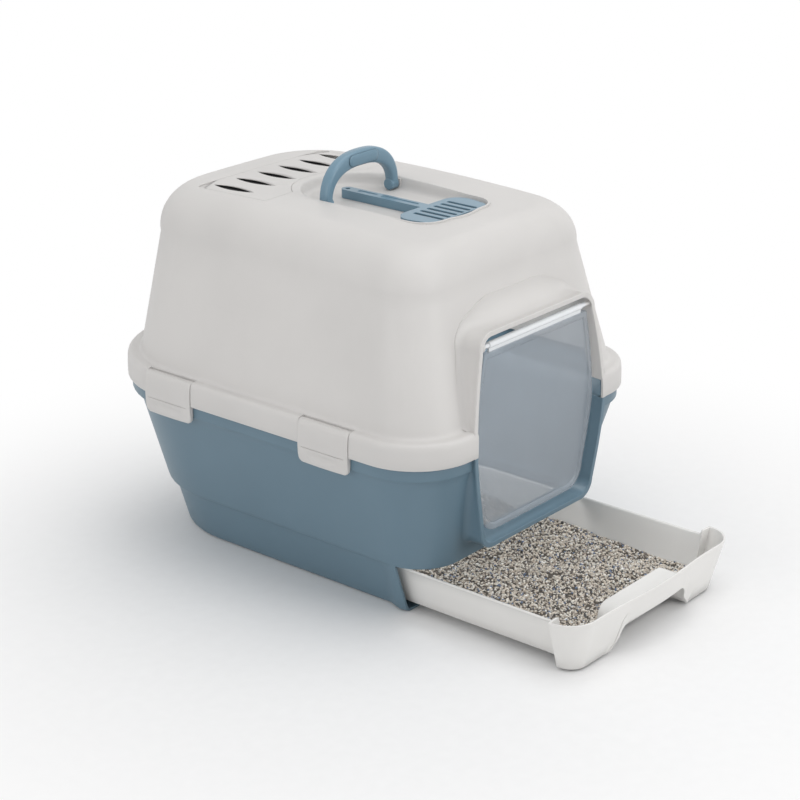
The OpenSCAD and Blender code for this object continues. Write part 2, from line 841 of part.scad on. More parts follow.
// a clip of the right side at a place along the skirt
module clip(y) {
    inner = half_w - rim_inset + slide_gap;
    low = rim_height - clip_reach;
    translate([0, y - clip_width / 2, 0])
        rotate([90, 0, 0])
            mirror([0, 0, 1])
                linear_extrude(height = clip_width)
                    union() {
                        translate([clip_pivot_x, clip_pivot_z])
                            circle(r = clip_barrel, $fn = 32);
                        polygon([
                            [clip_pivot_x, clip_pivot_z - 2],
                            [inner, clip_pivot_z - 2.6],
                            [inner, low + 2],
                            [inner + 1, low],
                            [inner + clip_thickness - 0.5, low],
                            [inner + clip_thickness + 0.8, low + 3],
                            [inner + clip_thickness + 2, low + 20],
                            [inner + clip_thickness + 1.7, low + 36],
                            [inner + clip_thickness, clip_pivot_z - 1],
                            [inner + clip_thickness - 2.4, clip_pivot_z + clip_barrel - 0.4],
                            [inner, clip_pivot_z + clip_barrel],
                            [clip_pivot_x, clip_pivot_z + clip_barrel]]);
                    }
    translate([clip_pivot_x, y - clip_width / 2 - clip_pin_length, clip_pivot_z])
        rotate([-90, 0, 0])
            cylinder(r = clip_pin_radius, h = clip_width + 2 * clip_pin_length);
}
module clip_left_front() {
    color("whitesmoke")
        mirror([1, 0, 0])
            clip(front_clip_y);
}
module clip_left_rear() {
    color("whitesmoke")
        mirror([1, 0, 0])
            clip(rear_clip_y);
}
module clip_right_front() {
    color("whitesmoke")
        clip(front_clip_y);
}
module clip_right_rear() {
    color("whitesmoke")
        clip(rear_clip_y);
}

base();
drawer();
litter_bed();
hood();
vent_cover();
carbon_filter();
door_flap();
carry_handle();
scoop();
clip_left_front();
clip_left_rear();
clip_right_front();
clip_right_rear();
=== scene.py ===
"""The looks of a drawer litter box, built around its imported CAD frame.

Sizes are in millimetres, as in the CAD source, and become metres where a mesh is made.
+X runs to the right of someone facing the doorway, -Y out of it, +Z up.
"""

import math
import random

import bmesh
import bpy
import numpy as np
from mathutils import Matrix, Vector


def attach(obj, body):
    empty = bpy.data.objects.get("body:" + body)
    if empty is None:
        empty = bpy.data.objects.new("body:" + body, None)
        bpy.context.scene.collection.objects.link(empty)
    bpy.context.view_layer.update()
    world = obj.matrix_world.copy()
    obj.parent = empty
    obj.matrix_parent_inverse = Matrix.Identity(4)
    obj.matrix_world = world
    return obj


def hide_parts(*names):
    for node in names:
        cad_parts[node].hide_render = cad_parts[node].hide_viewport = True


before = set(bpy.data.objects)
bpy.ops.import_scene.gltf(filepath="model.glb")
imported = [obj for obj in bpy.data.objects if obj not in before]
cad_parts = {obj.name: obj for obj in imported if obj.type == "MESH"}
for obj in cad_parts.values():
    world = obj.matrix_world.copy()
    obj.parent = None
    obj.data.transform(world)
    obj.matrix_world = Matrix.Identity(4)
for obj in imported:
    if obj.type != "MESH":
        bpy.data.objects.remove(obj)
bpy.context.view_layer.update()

MM = 0.001
SEED = 7
SHARP = math.radians(38)
KEPT_SHARE = 0.4

# ---------------- sizes
HALF_W, HALF_L = 225.0, 287.0
FRONT_R, REAR_R = 83, 151
WALL = 3.0

SKIRT_BOTTOM = 219.5
LEDGE_TOP = 251.3
SKIRT_PROFILE = (  # (height, how far in), from the lower edge to the ledge
    (SKIRT_BOTTOM, 0.9), (SKIRT_BOTTOM + 0.3, 0.35), (SKIRT_BOTTOM + 0.9, 0.0), (232, 0.1), (242, 0.5),
    (246, 1.0), (248.4, 1.9), (250.0, 3.3), (250.9, 5.0), (LEDGE_TOP - 0.05, 7.4))

RIM_BOTTOM, RIM_TOP = 203.0, 243.0
RIM_INSET = 5.2
BASE_HALF_W, BASE_HALF_L = 215.7, 277.7
BASE_FRONT_R, BASE_REAR_R = 74, 151
FRONT_DRAFT, BASE_SIDE_DRAFT, BASE_REAR_DRAFT = 0.23, 0.32, 0.075
STEP_Z, STEP_DEPTH = 70.0, 7.5
STEP_START, STEP_FADE = -184, 7

HOOD_TOP = 467.1
HOOD_RISE = HOOD_TOP - LEDGE_TOP
FOOT_HALF_W, FOOT_HALF_L = 208.6, 270
FOOT_ROUND = 5.0
HOOD_FRONT_R, HOOD_REAR_R = (67.4, 47.8), (138.4, 69.3)  # at the foot and at the top
DRAFT_SIDE, DRAFT_FRONT, DRAFT_REAR = 0.199, 0.242, 0.263
BLEND_UP, BLEND_SIDE, BLEND_FRONT, BLEND_REAR = 54.4, 54.4, 31.6, 22.3
CROWN_MID_Y = 25.4
CROWN_ACROSS, CROWN_ALONG = (150, 1.69), (200, 5.48)  # a distance from the middle, and the drop there

BAY_MID, BAY_HALF = 219.5, 131.8
BAY_TOP, BAY_TOP_HALF, BAY_TOP_POWER = 362.5, 108.0, 1.75
BAY_BOTTOM, BAY_BOTTOM_HALF, BAY_BOTTOM_POWER = 93.5, 108.0, 1.3
BAY_R = 22
BAY_WALL = 5.0
BAY_EDGE = 0.7
BAY_BACK = -245.0
BAY_FRONT = (  # (height, Y of the frame's front edge)
    (90, -283.3), (110, -284), (153, -285.6), (198, -286.7), (219.5, -287), (251, -285.2), (300, -281.8),
    (350, -277.8), (364, -276.4))

FLAP_Y, FLAP_Z = -272.0, 346.0
FLAP_TOP, FLAP_BOTTOM = 338.0, 108.0
FLAP_R = 30
FLAP_BAR_R, FLAP_PIN_R = 4.0, 2.8
FLAP_PIN_END = 103.9  # ends before the boss, where the CAD's goes in
FLAP_GAP = 10.5

PIVOT_Y, PIVOT_Z = 2.0, 459.0
HANDLE_OUTER, HANDLE_INNER = (68.6, 57.9), (57, 37.2)  # half width and rise
HANDLE_HALF_DEPTH, HANDLE_PIN_R = 7.5, 3.0
RECESS_R = 73
COVER_HALF_W, COVER_FRONT, COVER_REAR, COVER_R, COVER_CUT_R = 118, 53, 170, 10, 85
SLOT_PITCH, SLOT_Y, SLOT_LENGTH, SLOT_WIDTH = 39.3, 124, 68, 15
TUB_FLOOR, COVER_SEAT = 451.7, 461.4
FILTER_HALF_W, FILTER_FRONT, FILTER_REAR = 106, 90, 166
FILTER_BOTTOM, FILTER_TOP = 454.8, 461.4

DRAWER_OUT = 223.0
DRAWER_WALL = 2.8
POST_Y = -198.0
PANEL_TOP, PANEL_BOTTOM = 68.5, 3.0
PANEL_REAR = POST_Y - 1 - DRAWER_OUT
TRAY_TOP, TRAY_BOTTOM = 63.0, 11.0
TRAY_HALF_W, TRAY_DRAFT, TRAY_REAR_R, TRAY_REAR_GAP = 156, 0.31, 123, 7
PANEL_R, PANEL_SIDE_GAP, PANEL_SETBACK = 37, 0.7, 1.5
MOUTH_HALF_W = 158.5
POCKET_HALF, POCKET_DEPTH = 62, 27
POCKET_TOP, ARCH_TOP = 50.0, 36.5
THROAT_DEPTH, RUNNER_X = 47, 95

LITTER_REAR, LITTER_REAR_R, LITTER_FRONT_R = 20.0, 120, 30

SCOOP_TOP, SCOOP_BOTTOM = 462.2, 451.2
SCOOP_SKIN = 2.2
BLADE_REAR, BLADE_FRONT, BLADE_R = -102.0, -160.0, 22.0
BAR_HALF_W, BAR_END = 8, 29

CLIP_YS = (-132.0, 125.0)
CLIP_WIDTH = 78.0
CLIP_BOTTOM = 197.0
CLIP_GAP, CLIP_PIN_R = 0.6, 1.5
CLIP_PIVOT_X, CLIP_PIVOT_Z = 216, 246.7

# cutters reach this far, well past whatever they cut
CLEAR_X, CLEAR_FRONT, CLEAR_TOP, CLEAR_BOTTOM = 260, -320.0, 480, 440


# ---------------- points
def arc(cx, cy, radius, start, steps, turn=90):
    """Points round a centre, from the angle `start` on, in degrees."""
    angles = [math.radians(start + turn * i / steps) for i in range(steps + 1)]
    return [(cx + radius * math.cos(a), cy + radius * math.sin(a)) for a in angles]


def oval(cx, cy, wide, tall, count):
    """Points all the way round an oval or a circle."""
    angles = [2 * math.pi * i / count for i in range(count)]
    return [(cx + wide * math.cos(a), cy + tall * math.sin(a)) for a in angles]


def mirrored(half, shared_ends=True):
    """A half outline and its mirror image; ends that lie in the middle aren't repeated."""
    other = half[1:-1] if shared_ends else half
    return half + [(-p[0], *p[1:]) for p in reversed(other)]


def span(side, near, far):
    """The X range of a stretch from near to far on one side, lower end first."""
    return sorted((side * near, side * far))


def at_height(points, z):
    return np.column_stack([points, np.full(len(points), float(z))])


# ---------------- meshes
def add_to_scene(name, data):
    ob = bpy.data.objects.new(name, data)
    bpy.context.scene.collection.objects.link(ob)
    return ob


def shade(ob, angle=SHARP):
    """Smooth shading; edges sharper than `angle` stay sharp."""
    mesh = ob.data
    mesh.polygons.foreach_set("use_smooth", [True] * len(mesh.polygons))
    mesh.set_sharp_from_angle(angle=angle)


def repaint(ob, material):
    ob.data.materials.clear()
    ob.data.materials.append(material)


def new_object(name, verts, faces, material=None, angle=SHARP):
    """A mesh object from points in millimetres."""
    mesh = bpy.data.meshes.new(name)
    mesh.from_pydata([tuple(c * MM for c in v) for v in verts], [], faces)
    mesh.validate()
    bm = bmesh.new()
    bm.from_mesh(mesh)
    bmesh.ops.recalc_face_normals(bm, faces=bm.faces)
    bm.to_mesh(mesh)
    bm.free()
    ob = add_to_scene(name, mesh)
    shade(ob, angle)
    if material:
        mesh.materials.append(material)
    return ob


def skin(name, rings, material=None):
    """A closed surface through rings that share a point count, each end a fan round its centre."""
    n = len(rings[0])
    verts = [tuple(p) for r in rings for p in r]
    faces = []
    for k in range(len(rings) - 1):
        for i in range(n):
            a, b = k * n + i, k * n + (i + 1) % n
            faces.append((a, b, b + n, a + n))
    start, end = len(verts), len(verts) + 1
    verts += [tuple(np.mean(np.array(rings[k]), axis=0)) for k in (0, -1)]
    base = (len(rings) - 1) * n
    faces += [(start, (i + 1) % n, i) for i in range(n)]
    faces += [(end, base + i, base + (i + 1) % n) for i in range(n)]
    return new_object(name, verts, faces, material)


def combine(target, tool, operation="DIFFERENCE"):
    """Cuts, joins or trims target with tool, and removes tool.

    A solver that fails gives a mesh with few points or none. So the solvers are tried in turn until one
    keeps KEPT_SHARE of the target's points; if none does, the last result stays.
    """
    mod = target.modifiers.new("cut", "BOOLEAN")
    mod.operation = operation
    mod.object = tool
    for solver in ("EXACT", "MANIFOLD", "FLOAT"):
        mod.solver = solver
        graph = bpy.context.evaluated_depsgraph_get()
        result = bpy.data.meshes.new_from_object(target.evaluated_get(graph))
        enough = len(result.vertices) >= KEPT_SHARE * len(target.data.vertices)
        if enough or operation == "INTERSECT":
            break
    target.modifiers.clear()
    target.data = result
    bpy.data.objects.remove(tool)
    shade(target)
    return target


def join(name, objects):
    """One object from several of one material, keeping their meshes as they are."""
    material = objects[0].data.materials[0]
    bm = bmesh.new()
    for ob in objects:
        bm.from_mesh(ob.data)
        bpy.data.objects.remove(ob)
    for face in bm.faces:
        face.material_index = 0
    mesh = bpy.data.meshes.new(name)
    bm.to_mesh(mesh)
    bm.free()
    mesh.materials.append(material)
    ob = add_to_scene(name, mesh)
    shade(ob)
    return ob


def prism(name, points, z0, z1, material=None):
    """An outline in the X-Y plane pulled up from z0 to z1."""
    n = len(points)
    verts = [(x, y, z0) for x, y in points] + [(x, y, z1) for x, y in points]
    faces = [tuple(range(n - 1, -1, -1)), tuple(range(n, 2 * n))]
    faces += [(i, (i + 1) % n, n + (i + 1) % n, n + i) for i in range(n)]
    return new_object(name, verts, faces, material)


def prism_y(name, points, y0, y1, material=None):
    """An outline in the X-Z plane pulled from y0 to y1."""
    n = len(points)
    verts = [(x, y0, z) for x, z in points] + [(x, y1, z) for x, z in points]
    faces = [tuple(range(n)), tuple(range(2 * n - 1, n - 1, -1))]
    faces += [(i, n + i, n + (i + 1) % n, (i + 1) % n) for i in range(n)]
    return new_object(name, verts, faces, material)


def box(name, xs, ys, zs, material=None):
    """A box from its lower and upper end along each axis."""
    (x0, x1), (y0, y1), (z0, z1) = xs, ys, zs
    return prism(name, [(x0, y0), (x1, y0), (x1, y1), (x0, y1)], z0, z1, material)


def tube_x(name, xs, y, z, radius, material=None, edge=0.6):
    """A round bar along X with rounded ends."""
    x0, x1 = xs
    ends = ((x0, radius - edge), (x0 + edge, radius), (x1 - edge, radius), (x1, radius - edge))
    return skin(name, [[(x, *p) for p in oval(y, z, r, r, 32)] for x, r in ends], material)


# ---------------- outlines
def outline(hx, yf, yr, rf, rr):
    """A rounded outline, counter-clockwise from above: half width, front, rear and corner radii."""
    corners = [
        arc(hx - rr, yr - rr, rr, 0, 14), arc(-hx + rr, yr - rr, rr, 90, 14),
        arc(-hx + rf, yf + rf, rf, 180, 14), arc(hx - rf, yf + rf, rf, 270, 14)]
    points = []
    for k, pieces in enumerate((8, 22, 26, 22)):
        points += corners[k]
        (ax, ay), (bx, by) = corners[k][-1], corners[(k + 1) % 4][0]
        points += [(ax + (bx - ax) * j / pieces, ay + (by - ay) * j / pieces) for j in range(1, pieces)]
    return np.array(points)


def skirt_ring(z, inset):
    ring = outline(HALF_W - inset, inset - HALF_L, HALF_L - inset, FRONT_R - inset, REAR_R - inset)
    return at_height(ring, z)


def crown(x, y):
    """Height of the hood's slightly domed top."""
    (across, drop_x), (along, drop_y) = CROWN_ACROSS, CROWN_ALONG
    return HOOD_TOP - drop_x * (x / across) ** 2 - drop_y * ((y - CROWN_MID_Y) / along) ** 2


def hood_shape(up, turn):
    """The hood's outline sizes; up above the ledge, turn 0..1 round the shoulder."""
    straight = min(up, HOOD_RISE - BLEND_UP)
    w = up / HOOD_RISE
    radii = [foot * (1 - w) + top * w for foot, top in (HOOD_FRONT_R, HOOD_REAR_R)]
    return (
        FOOT_HALF_W - DRAFT_SIDE * straight - BLEND_SIDE * turn,
        -FOOT_HALF_L + DRAFT_FRONT * straight + BLEND_FRONT * turn,
        FOOT_HALF_L - DRAFT_REAR * straight - BLEND_REAR * turn,
        *radii)


def hood_ring(up, turn=0.0, inset=0.0):
    """A ring of the hood's wall, its height eased towards the domed top."""
    hx, yf, yr, rf, rr = hood_shape(up, turn)
    side = inset * (1 - turn)
    pts = outline(hx - side, yf + side, yr - side, rf - side, rr - side)
    top = crown(pts[:, 0], pts[:, 1])
    z = LEDGE_TOP + (top - LEDGE_TOP) * up / HOOD_RISE
    return np.column_stack([pts, z - inset * turn])


def hood_rings(inset):
    """The hood from above its foot, round the shoulder and in over the top."""
    rings = [hood_ring(u, 0, inset) for u in np.linspace(8, HOOD_RISE - BLEND_UP, 14)]
    for t in np.radians(np.linspace(0, 90, 15))[1:]:
        rings.append(hood_ring(HOOD_RISE - BLEND_UP * (1 - math.sin(t)), 1 - math.cos(t), inset))
    top = rings[-1]
    centre = np.array([0.0, 25.0])
    for k in (0.86, 0.7, 0.52, 0.34, 0.16):
        pts = centre + (top[:, :2] - centre) * k
        rings.append(np.column_stack([pts, crown(pts[:, 0], pts[:, 1]) - inset]))
    return rings


def bay_half(z):
    """Half width of the doorway frame at a height: widest at BAY_MID, curving in above and below."""
    z = min(max(z, BAY_BOTTOM), BAY_TOP)
    end, end_half, power = (
        (BAY_TOP, BAY_TOP_HALF, BAY_TOP_POWER) if z > BAY_MID
        else (BAY_BOTTOM, BAY_BOTTOM_HALF, BAY_BOTTOM_POWER))
    return BAY_HALF - (BAY_HALF - end_half) * ((z - BAY_MID) / (end - BAY_MID)) ** power


def bay_loop(inset=0.0):
    """The doorway outline as (x, z), from the middle of the bottom round the right side to the left."""
    r = BAY_R - 0.6 * inset
    top, bottom = BAY_TOP - inset, BAY_BOTTOM + inset
    wt = bay_half(top - r) - inset
    wb = bay_half(bottom + r) - inset
    right = [(x, bottom) for x in np.linspace(0, wb - r, 8)[:-1]]
    right += arc(wb - r, bottom + r, r, -90, 10)
    for z in [bottom + r + (top - bottom - 2 * r) * i / 34 for i in range(1, 34)]:
        right.append((bay_half(z) - inset, z))
    right += arc(wt - r, top - r, r, 0, 10)
    right += [(x, top) for x in np.linspace(wt - r, 0, 8)[1:]]
    return mirrored(right)


def bay_front(z):
    """How far forward the frame's edge stands at a height."""
    return float(np.interp(z, *zip(*BAY_FRONT)))


def base_shape(z):
    """The base's outline sizes below its rim."""
    d = RIM_BOTTOM - z
    return (
        BASE_HALF_W - BASE_SIDE_DRAFT * d, -BASE_HALF_L + FRONT_DRAFT * d, BASE_HALF_L - BASE_REAR_DRAFT * d,
        BASE_FRONT_R - 0.12 * d, BASE_REAR_R - 0.07 * d)


def base_ring(z, inset=0.0, step=0.0):
    """A ring of the base; step is how far the sides and rear sit back, fading out at the front posts."""
    hx, yf, yr, rf, rr = base_shape(z)
    pts = outline(hx - inset, yf + inset, yr - inset, rf - inset, rr - inset)
    if step:
        deep = outline(hx - inset - step, yf + inset, yr - inset - step, rf - inset, rr - inset - step)
        w = np.clip((pts[:, 1] - STEP_START) / STEP_FADE, 0, 1)[:, None]
        w = w * w * (3 - 2 * w)
        pts = pts * (1 - w) + deep * w
    return at_height(pts, z)


def front_wall(shape, x):
    """The front face of a rounded outline at a distance from the middle."""
    hx, yf, _, rf, _ = shape
    over = abs(x) - (hx - rf)
    if over <= 0:
        return yf
    return yf + rf - math.sqrt(max(rf * rf - over * over, 0.0))


# ---------------- materials
def shader_nodes(name):
    mat = bpy.data.materials.new(name)
    mat.use_nodes = True
    nodes = mat.node_tree.nodes
    return mat, nodes, nodes["Principled BSDF"]


def link(output, socket):
    socket.id_data.links.new(output, socket)


def set_inputs(node, **values):
    """Sets a node's inputs; an underscore stands for a space in their names."""
    for name, value in values.items():
        node.inputs[name.replace("_", " ")].default_value = value
    return node


def add(nodes, kind, **values):
    return set_inputs(nodes.new("ShaderNode" + kind), **values)


def noise(nodes, scale, detail=3.0, roughness=0.5):
    """A noise texture in the object's own coordinates."""
    coords = add(nodes, "TexCoord")
    tex = add(nodes, "TexNoise", Scale=scale, Detail=detail, Roughness=roughness)
    link(coords.outputs["Object"], tex.inputs["Vector"])
    return tex.outputs["Fac"]


def blend_colours(nodes, factor, low, high, socket):
    """Runs from one colour to another with the factor, into a socket."""
    ramp = add(nodes, "ValToRGB")
    for element, position, colour in zip(ramp.color_ramp.elements, (0.3, 0.7), (low, high)):
        element.position = position
        element.color = (*colour, 1)
    link(factor, ramp.inputs["Fac"])
    link(ramp.outputs["Color"], socket)


def add_bump(nodes, shader, height, strength, distance, normal=None):
    """Relief `distance` millimetres deep, on top of another normal where one is given."""
    bump = add(nodes, "Bump", Strength=strength, Distance=distance * MM)
    link(height, bump.inputs["Height"])
    if normal:
        link(normal, bump.inputs["Normal"])
    link(bump.outputs["Normal"], shader.inputs["Normal"])


def mix_shaders(nodes, factor, first, second, output="Material Output"):
    """Blends two shaders and shows the blend; factor is a number or another node's output."""
    mix = add(nodes, "MixShader")
    if isinstance(factor, float):
        mix.inputs["Fac"].default_value = factor
    else:
        link(factor, mix.inputs["Fac"])
    link(first, mix.inputs[1])
    link(second, mix.inputs[2])
    link(mix.outputs["Shader"], nodes[output].inputs["Surface"])


def plastic(name, colour, rough, grain, edge, glow_through=0.0, coat=0.0):
    """Moulded plastic: a faint mottle, a fine grain, and edges softened by `edge` millimetres."""
    mat, nodes, shader = shader_nodes(name)
    low, high = ([min(c * (1 + change), 1) for c in colour] for change in (-0.025, 0.025))
    mottle = noise(nodes, 9.0)
    blend_colours(nodes, mottle, low, high, shader.inputs["Base Color"])
    set_inputs(shader, Roughness=rough, Specular_IOR_Level=0.4, Coat_Weight=coat, Coat_Roughness=0.12)
    bevel = add(nodes, "Bevel", Radius=edge * MM)
    bevel.samples = 6
    fine = noise(nodes, 900.0, 2.0)
    add_bump(nodes, shader, fine, grain, 0.6, bevel.outputs["Normal"])
    if glow_through:
        through = add(nodes, "BsdfTranslucent", Color=(*colour, 1))
        mix_shaders(nodes, glow_through, shader.outputs["BSDF"], through.outputs["BSDF"])
    return mat


def clear_plastic(name, tint, body, share):
    """Thin smoky plastic: mostly see-through, with a share of its own colour and shine."""
    mat, nodes, shader = shader_nodes(name)
    mottle = noise(nodes, 14.0)
    blend_colours(nodes, mottle, [c * 0.96 for c in body], body, shader.inputs["Base Color"])
    set_inputs(shader, Roughness=0.16)
    clear = add(nodes, "BsdfTransparent", Color=(*tint, 1))
    mix_shaders(nodes, share, clear.outputs["BSDF"], shader.outputs["BSDF"])
    return mat


def felt(name, colour):
    mat, nodes, shader = shader_nodes(name)
    fibres = noise(nodes, 420.0, 6.0, 0.7)
    low, high = ([min(c * k, 1) for c in colour] for k in (0.5, 1.9))
    blend_colours(nodes, fibres, low, high, shader.inputs["Base Color"])
    set_inputs(shader, Roughness=0.95)
    add_bump(nodes, shader, fibres, 0.6, 1.0)
    return mat


def clay(name):
    """Litter: each grain has its own shade, kept in the mesh, as is the painted shade of the bed under the
    grains, with a dusty mottle over it.
    """
    mat, nodes, shader = shader_nodes(name)
    own_shade = add(nodes, "Attribute")
    own_shade.attribute_name = "grain"
    dust = noise(nodes, 1500.0, 3.0)
    tone = add(nodes, "Mix")
    tone.data_type = "RGBA"
    tone.blend_type = "MULTIPLY"
    tone.inputs["Factor"].default_value = 0.5
    link(own_shade.outputs["Color"], tone.inputs["A"])
    blend_colours(nodes, dust, (0.7, 0.7, 0.7), (1, 1, 1), tone.inputs["B"])
    link(tone.outputs["Result"], shader.inputs["Base Color"])
    set_inputs(shader, Roughness=0.85)
    add_bump(nodes, shader, dust, 0.5, 0.5)
    return mat


HOOD_MAT = plastic("hood_plastic", (0.70, 0.685, 0.67), 0.42, grain=0.05, edge=0.8, glow_through=0.2)
BASE_MAT = plastic("base_plastic", (0.132, 0.207, 0.262), 0.4, grain=0.06, edge=0.9, glow_through=0.05)
DRAWER_MAT = plastic("drawer_plastic", (0.73, 0.72, 0.70), 0.26, grain=0.02, edge=0.6, coat=0.3)
BLUE_MAT = plastic("handle_plastic", (0.145, 0.245, 0.32), 0.34, grain=0.03, edge=1.0, coat=0.15)
ROD_MAT = plastic("flap_bar_plastic", (0.74, 0.76, 0.78), 0.25, grain=0.02, edge=0.4, coat=0.4)
FLAP_MAT = clear_plastic("flap_plastic", (0.90, 0.92, 0.94), (0.42, 0.455, 0.49), 0.46)
FILTER_MAT = felt("charcoal_felt", (0.018, 0.018, 0.02))
LITTER_MAT = clay("clay_grains")


# ---------------- doorway frame
def outward(loop):
    """Outward unit normals of a closed loop that runs counter-clockwise in X-Z seen from the front."""
    pts = np.array(loop)
    along = np.roll(pts, -1, axis=0) - np.roll(pts, 1, axis=0)
    normal = np.column_stack([along[:, 1], -along[:, 0]])
    return normal / np.linalg.norm(normal, axis=1)[:, None]


def doorway_stations(upper):
    """Half of the doorway, as (edge, its normal, inside wall, inside edge), cut square at BAY_MID."""
    loop, inner, inner_edge = bay_loop(), bay_loop(BAY_WALL), bay_loop(BAY_WALL - BAY_EDGE)
    normal = outward(loop)
    order = list(range(len(loop)))
    if not upper:
        order = order[len(order) // 2:] + order[:len(order) // 2]
    sign = 1 if upper else -1
    stations = [
        (loop[i], normal[i], inner[i], inner_edge[i]) for i in order if sign * (loop[i][1] - BAY_MID) > 0.4]
    for end in (0, -1):
        side = math.copysign(1, stations[end][0][0])
        edge, inside, inside_edge = (
            (side * (BAY_HALF - inset), BAY_MID) for inset in (0, BAY_WALL, BAY_WALL - BAY_EDGE))
        stations.insert(0 if end == 0 else len(stations), (edge, (side, 0.0), inside, inside_edge))
    return stations


def doorway_tube(name, upper, wall_at, lip, flare, material):
    """Half of the doorway frame: a short tube with a lip, whose outside flares into the wall round it.

    wall_at(x, z) is the Y of that wall, and flare(x, z) the radius that the flare may have there.
    """
    rings = []
    for (x, z), (nx, nz), (xi, zi), (xe, ze) in doorway_stations(upper):
        front = bay_front(z)
        reach = flare(x, z)
        wall_y = wall_at(x + nx * reach, z + nz * reach)
        radius = min(max(wall_y - front - 5.5, 0.4), reach)
        wall_y = wall_at(x + nx * radius, z + nz * radius) + 0.6
        back = max(wall_y + 2.6, BAY_BACK)
        profile = [(lip - 0.5, front), (lip, front + 0.6), (lip, front + 2.6), (0.3 * lip, front + 3.8)]
        for turn in np.radians(np.linspace(0, 90, 9)):
            y = max(wall_y - radius * (1 - math.sin(turn)), front + 4.4)
            profile.append((radius * (1 - math.cos(turn)), y))
        profile += [(radius, wall_y + 2.4), (0.0, back)]
        at_cut = abs(z - BAY_MID) <= 1e-6
        ring = [(x + nx * off, y, z if at_cut else z + nz * off) for off, y in profile]
        ring += [(xi, back, zi), (xi, front + BAY_EDGE, zi), (xe, front, ze)]
        rings.append(ring)
    return skin(name, rings, material)


def doorway_room(name, inset, back, floor=None):
    """The room inside the doorway frame, as far in as `back`, above `floor` where one is given."""
    room = prism_y(name, bay_loop(inset), CLEAR_FRONT, back)
    if floor is not None:
        combine(room, box("below", (-CLEAR_X, CLEAR_X), (CLEAR_FRONT - 5, back + 5), (0, floor)))
    return room


def hood_wall_y(x, z):
    """The hood's front: the skirt up to the ledge, then the wall, with a short blend between them."""
    blend = 4
    if z < LEDGE_TOP - blend:
        return -HALF_L + 1.5
    wall = front_wall(hood_shape(max(z - LEDGE_TOP, 0), 0), x)
    share = min(max((z - LEDGE_TOP + blend) / (2 * blend), 0), 1)
    return (1 - share) * (-HALF_L + 3) + share * wall


def base_wall_y(x, z):
    if z > RIM_BOTTOM:
        return -HALF_L + RIM_INSET
    return front_wall(base_shape(z), x)


# ---------------- hood
def recess_outline(inset=0.0):
    """The recess in the top, counter-clockwise from the middle of its bowed front."""
    corner_x, corner_y, corner_r = 38.5, -132.0, 30.0
    pts = []
    for u in np.linspace(0, 1, 9)[:-1]:
        pts.append((corner_x * u, corner_y - corner_r + inset - 5 * (1 + math.cos(math.pi * u)) / 2))
    pts += arc(corner_x, corner_y, corner_r - inset, -90, 12)
    for u in np.linspace(0, 1, 14)[1:-1]:
        side = corner_x + corner_r + (RECESS_R - corner_x - corner_r) * u
        pts.append((side - inset, corner_y + (PIVOT_Y - corner_y) * u))
    pts += arc(0, PIVOT_Y, RECESS_R - inset, 0, 24)
    return mirrored(pts)


def cover_outline(grow=0.0):
    """The vent cover: a rectangle with rounded rear corners, an arc cut out of its front."""
    half, front, rear = COVER_HALF_W + grow, COVER_FRONT - grow, COVER_REAR + grow
    cut_r, r = COVER_CUT_R - grow, COVER_R
    start = math.degrees(math.asin((front - PIVOT_Y) / cut_r))
    pts = arc(0, PIVOT_Y, cut_r, 180 - start, 24, 2 * start - 180)
    pts += [(half, front), *arc(half - r, rear - r, r, 0, 8), *arc(-half + r, rear - r, r, 90, 8)]
    return pts + [(-half, front)]


def leaf(cx, cy, length, width, levels):
    """A pointed oval cutter; levels lists (height, how much wider)."""
    rings = []
    steps = 20
    for z, wider in levels:
        w, half = width / 2 + wider, length / 2 + wider
        r = (half * half + w * w) / (2 * w)
        ring = []
        for side in (1, -1):
            for s in [side * (2 * i / steps - 1) for i in range(steps)]:
                bulge = math.sqrt(max(r * r - (half * s) ** 2, 0)) - (r - w)
                ring.append((cx + side * bulge, cy + half * s, z))
        rings.append(ring)
    return skin("leaf", rings)


def hood_flare(x, z):
    """How far the hood's doorway flares: wide over the door, narrow down its sides and at the corners."""
    over_door = min(max(104 - abs(x), 0) / 46, 1) if z > 340 else 0
    return 8.0 + 18.0 * over_door


def hood_wall():
    """The hood's hollow shell."""
    outer = [skirt_ring(z, inset) for z, inset in SKIRT_PROFILE]
    for t in np.radians(np.linspace(0, 90, 7)):
        outer.append(hood_ring(FOOT_ROUND * (1 - math.cos(t)) + 0.02, 0, -FOOT_ROUND * (1 - math.sin(t))))
    hood = skin("hood_shell", outer + hood_rings(0.0), HOOD_MAT)
    inner = [skirt_ring(SKIRT_BOTTOM - 2, WALL), skirt_ring(RIM_TOP, WALL), skirt_ring(RIM_TOP + 1, 17.5)]
    tube = doorway_tube("hood_doorway", True, hood_wall_y, 1.3, hood_flare, HOOD_MAT)
    combine(hood, skin("hood_inside", inner + hood_rings(WALL)))
    return combine(hood, tube, "UNION")


def recess_room():
    """The recess, rounded at its edge and its floor, with the handle's two bosses left standing in it."""
    levels = (  # (height, inset)
        (451.0, 9.0), (451.5, 6.0), (452.8, 3.6), (455.2, 2.0), (459.5, 1.0), (464.6, 0.2), (466.0, -0.9),
        (467.4, -3.2), (475.0, -4.2))
    room = skin("recess_room", [at_height(np.array(recess_outline(g)), z) for z, g in levels])
    for side in (-1, 1):
        combine(room, box("boss", span(side, 69.6, 95), (PIVOT_Y - 8, PIVOT_Y + 8), (CLEAR_BOTTOM, 464.4)))
    return room


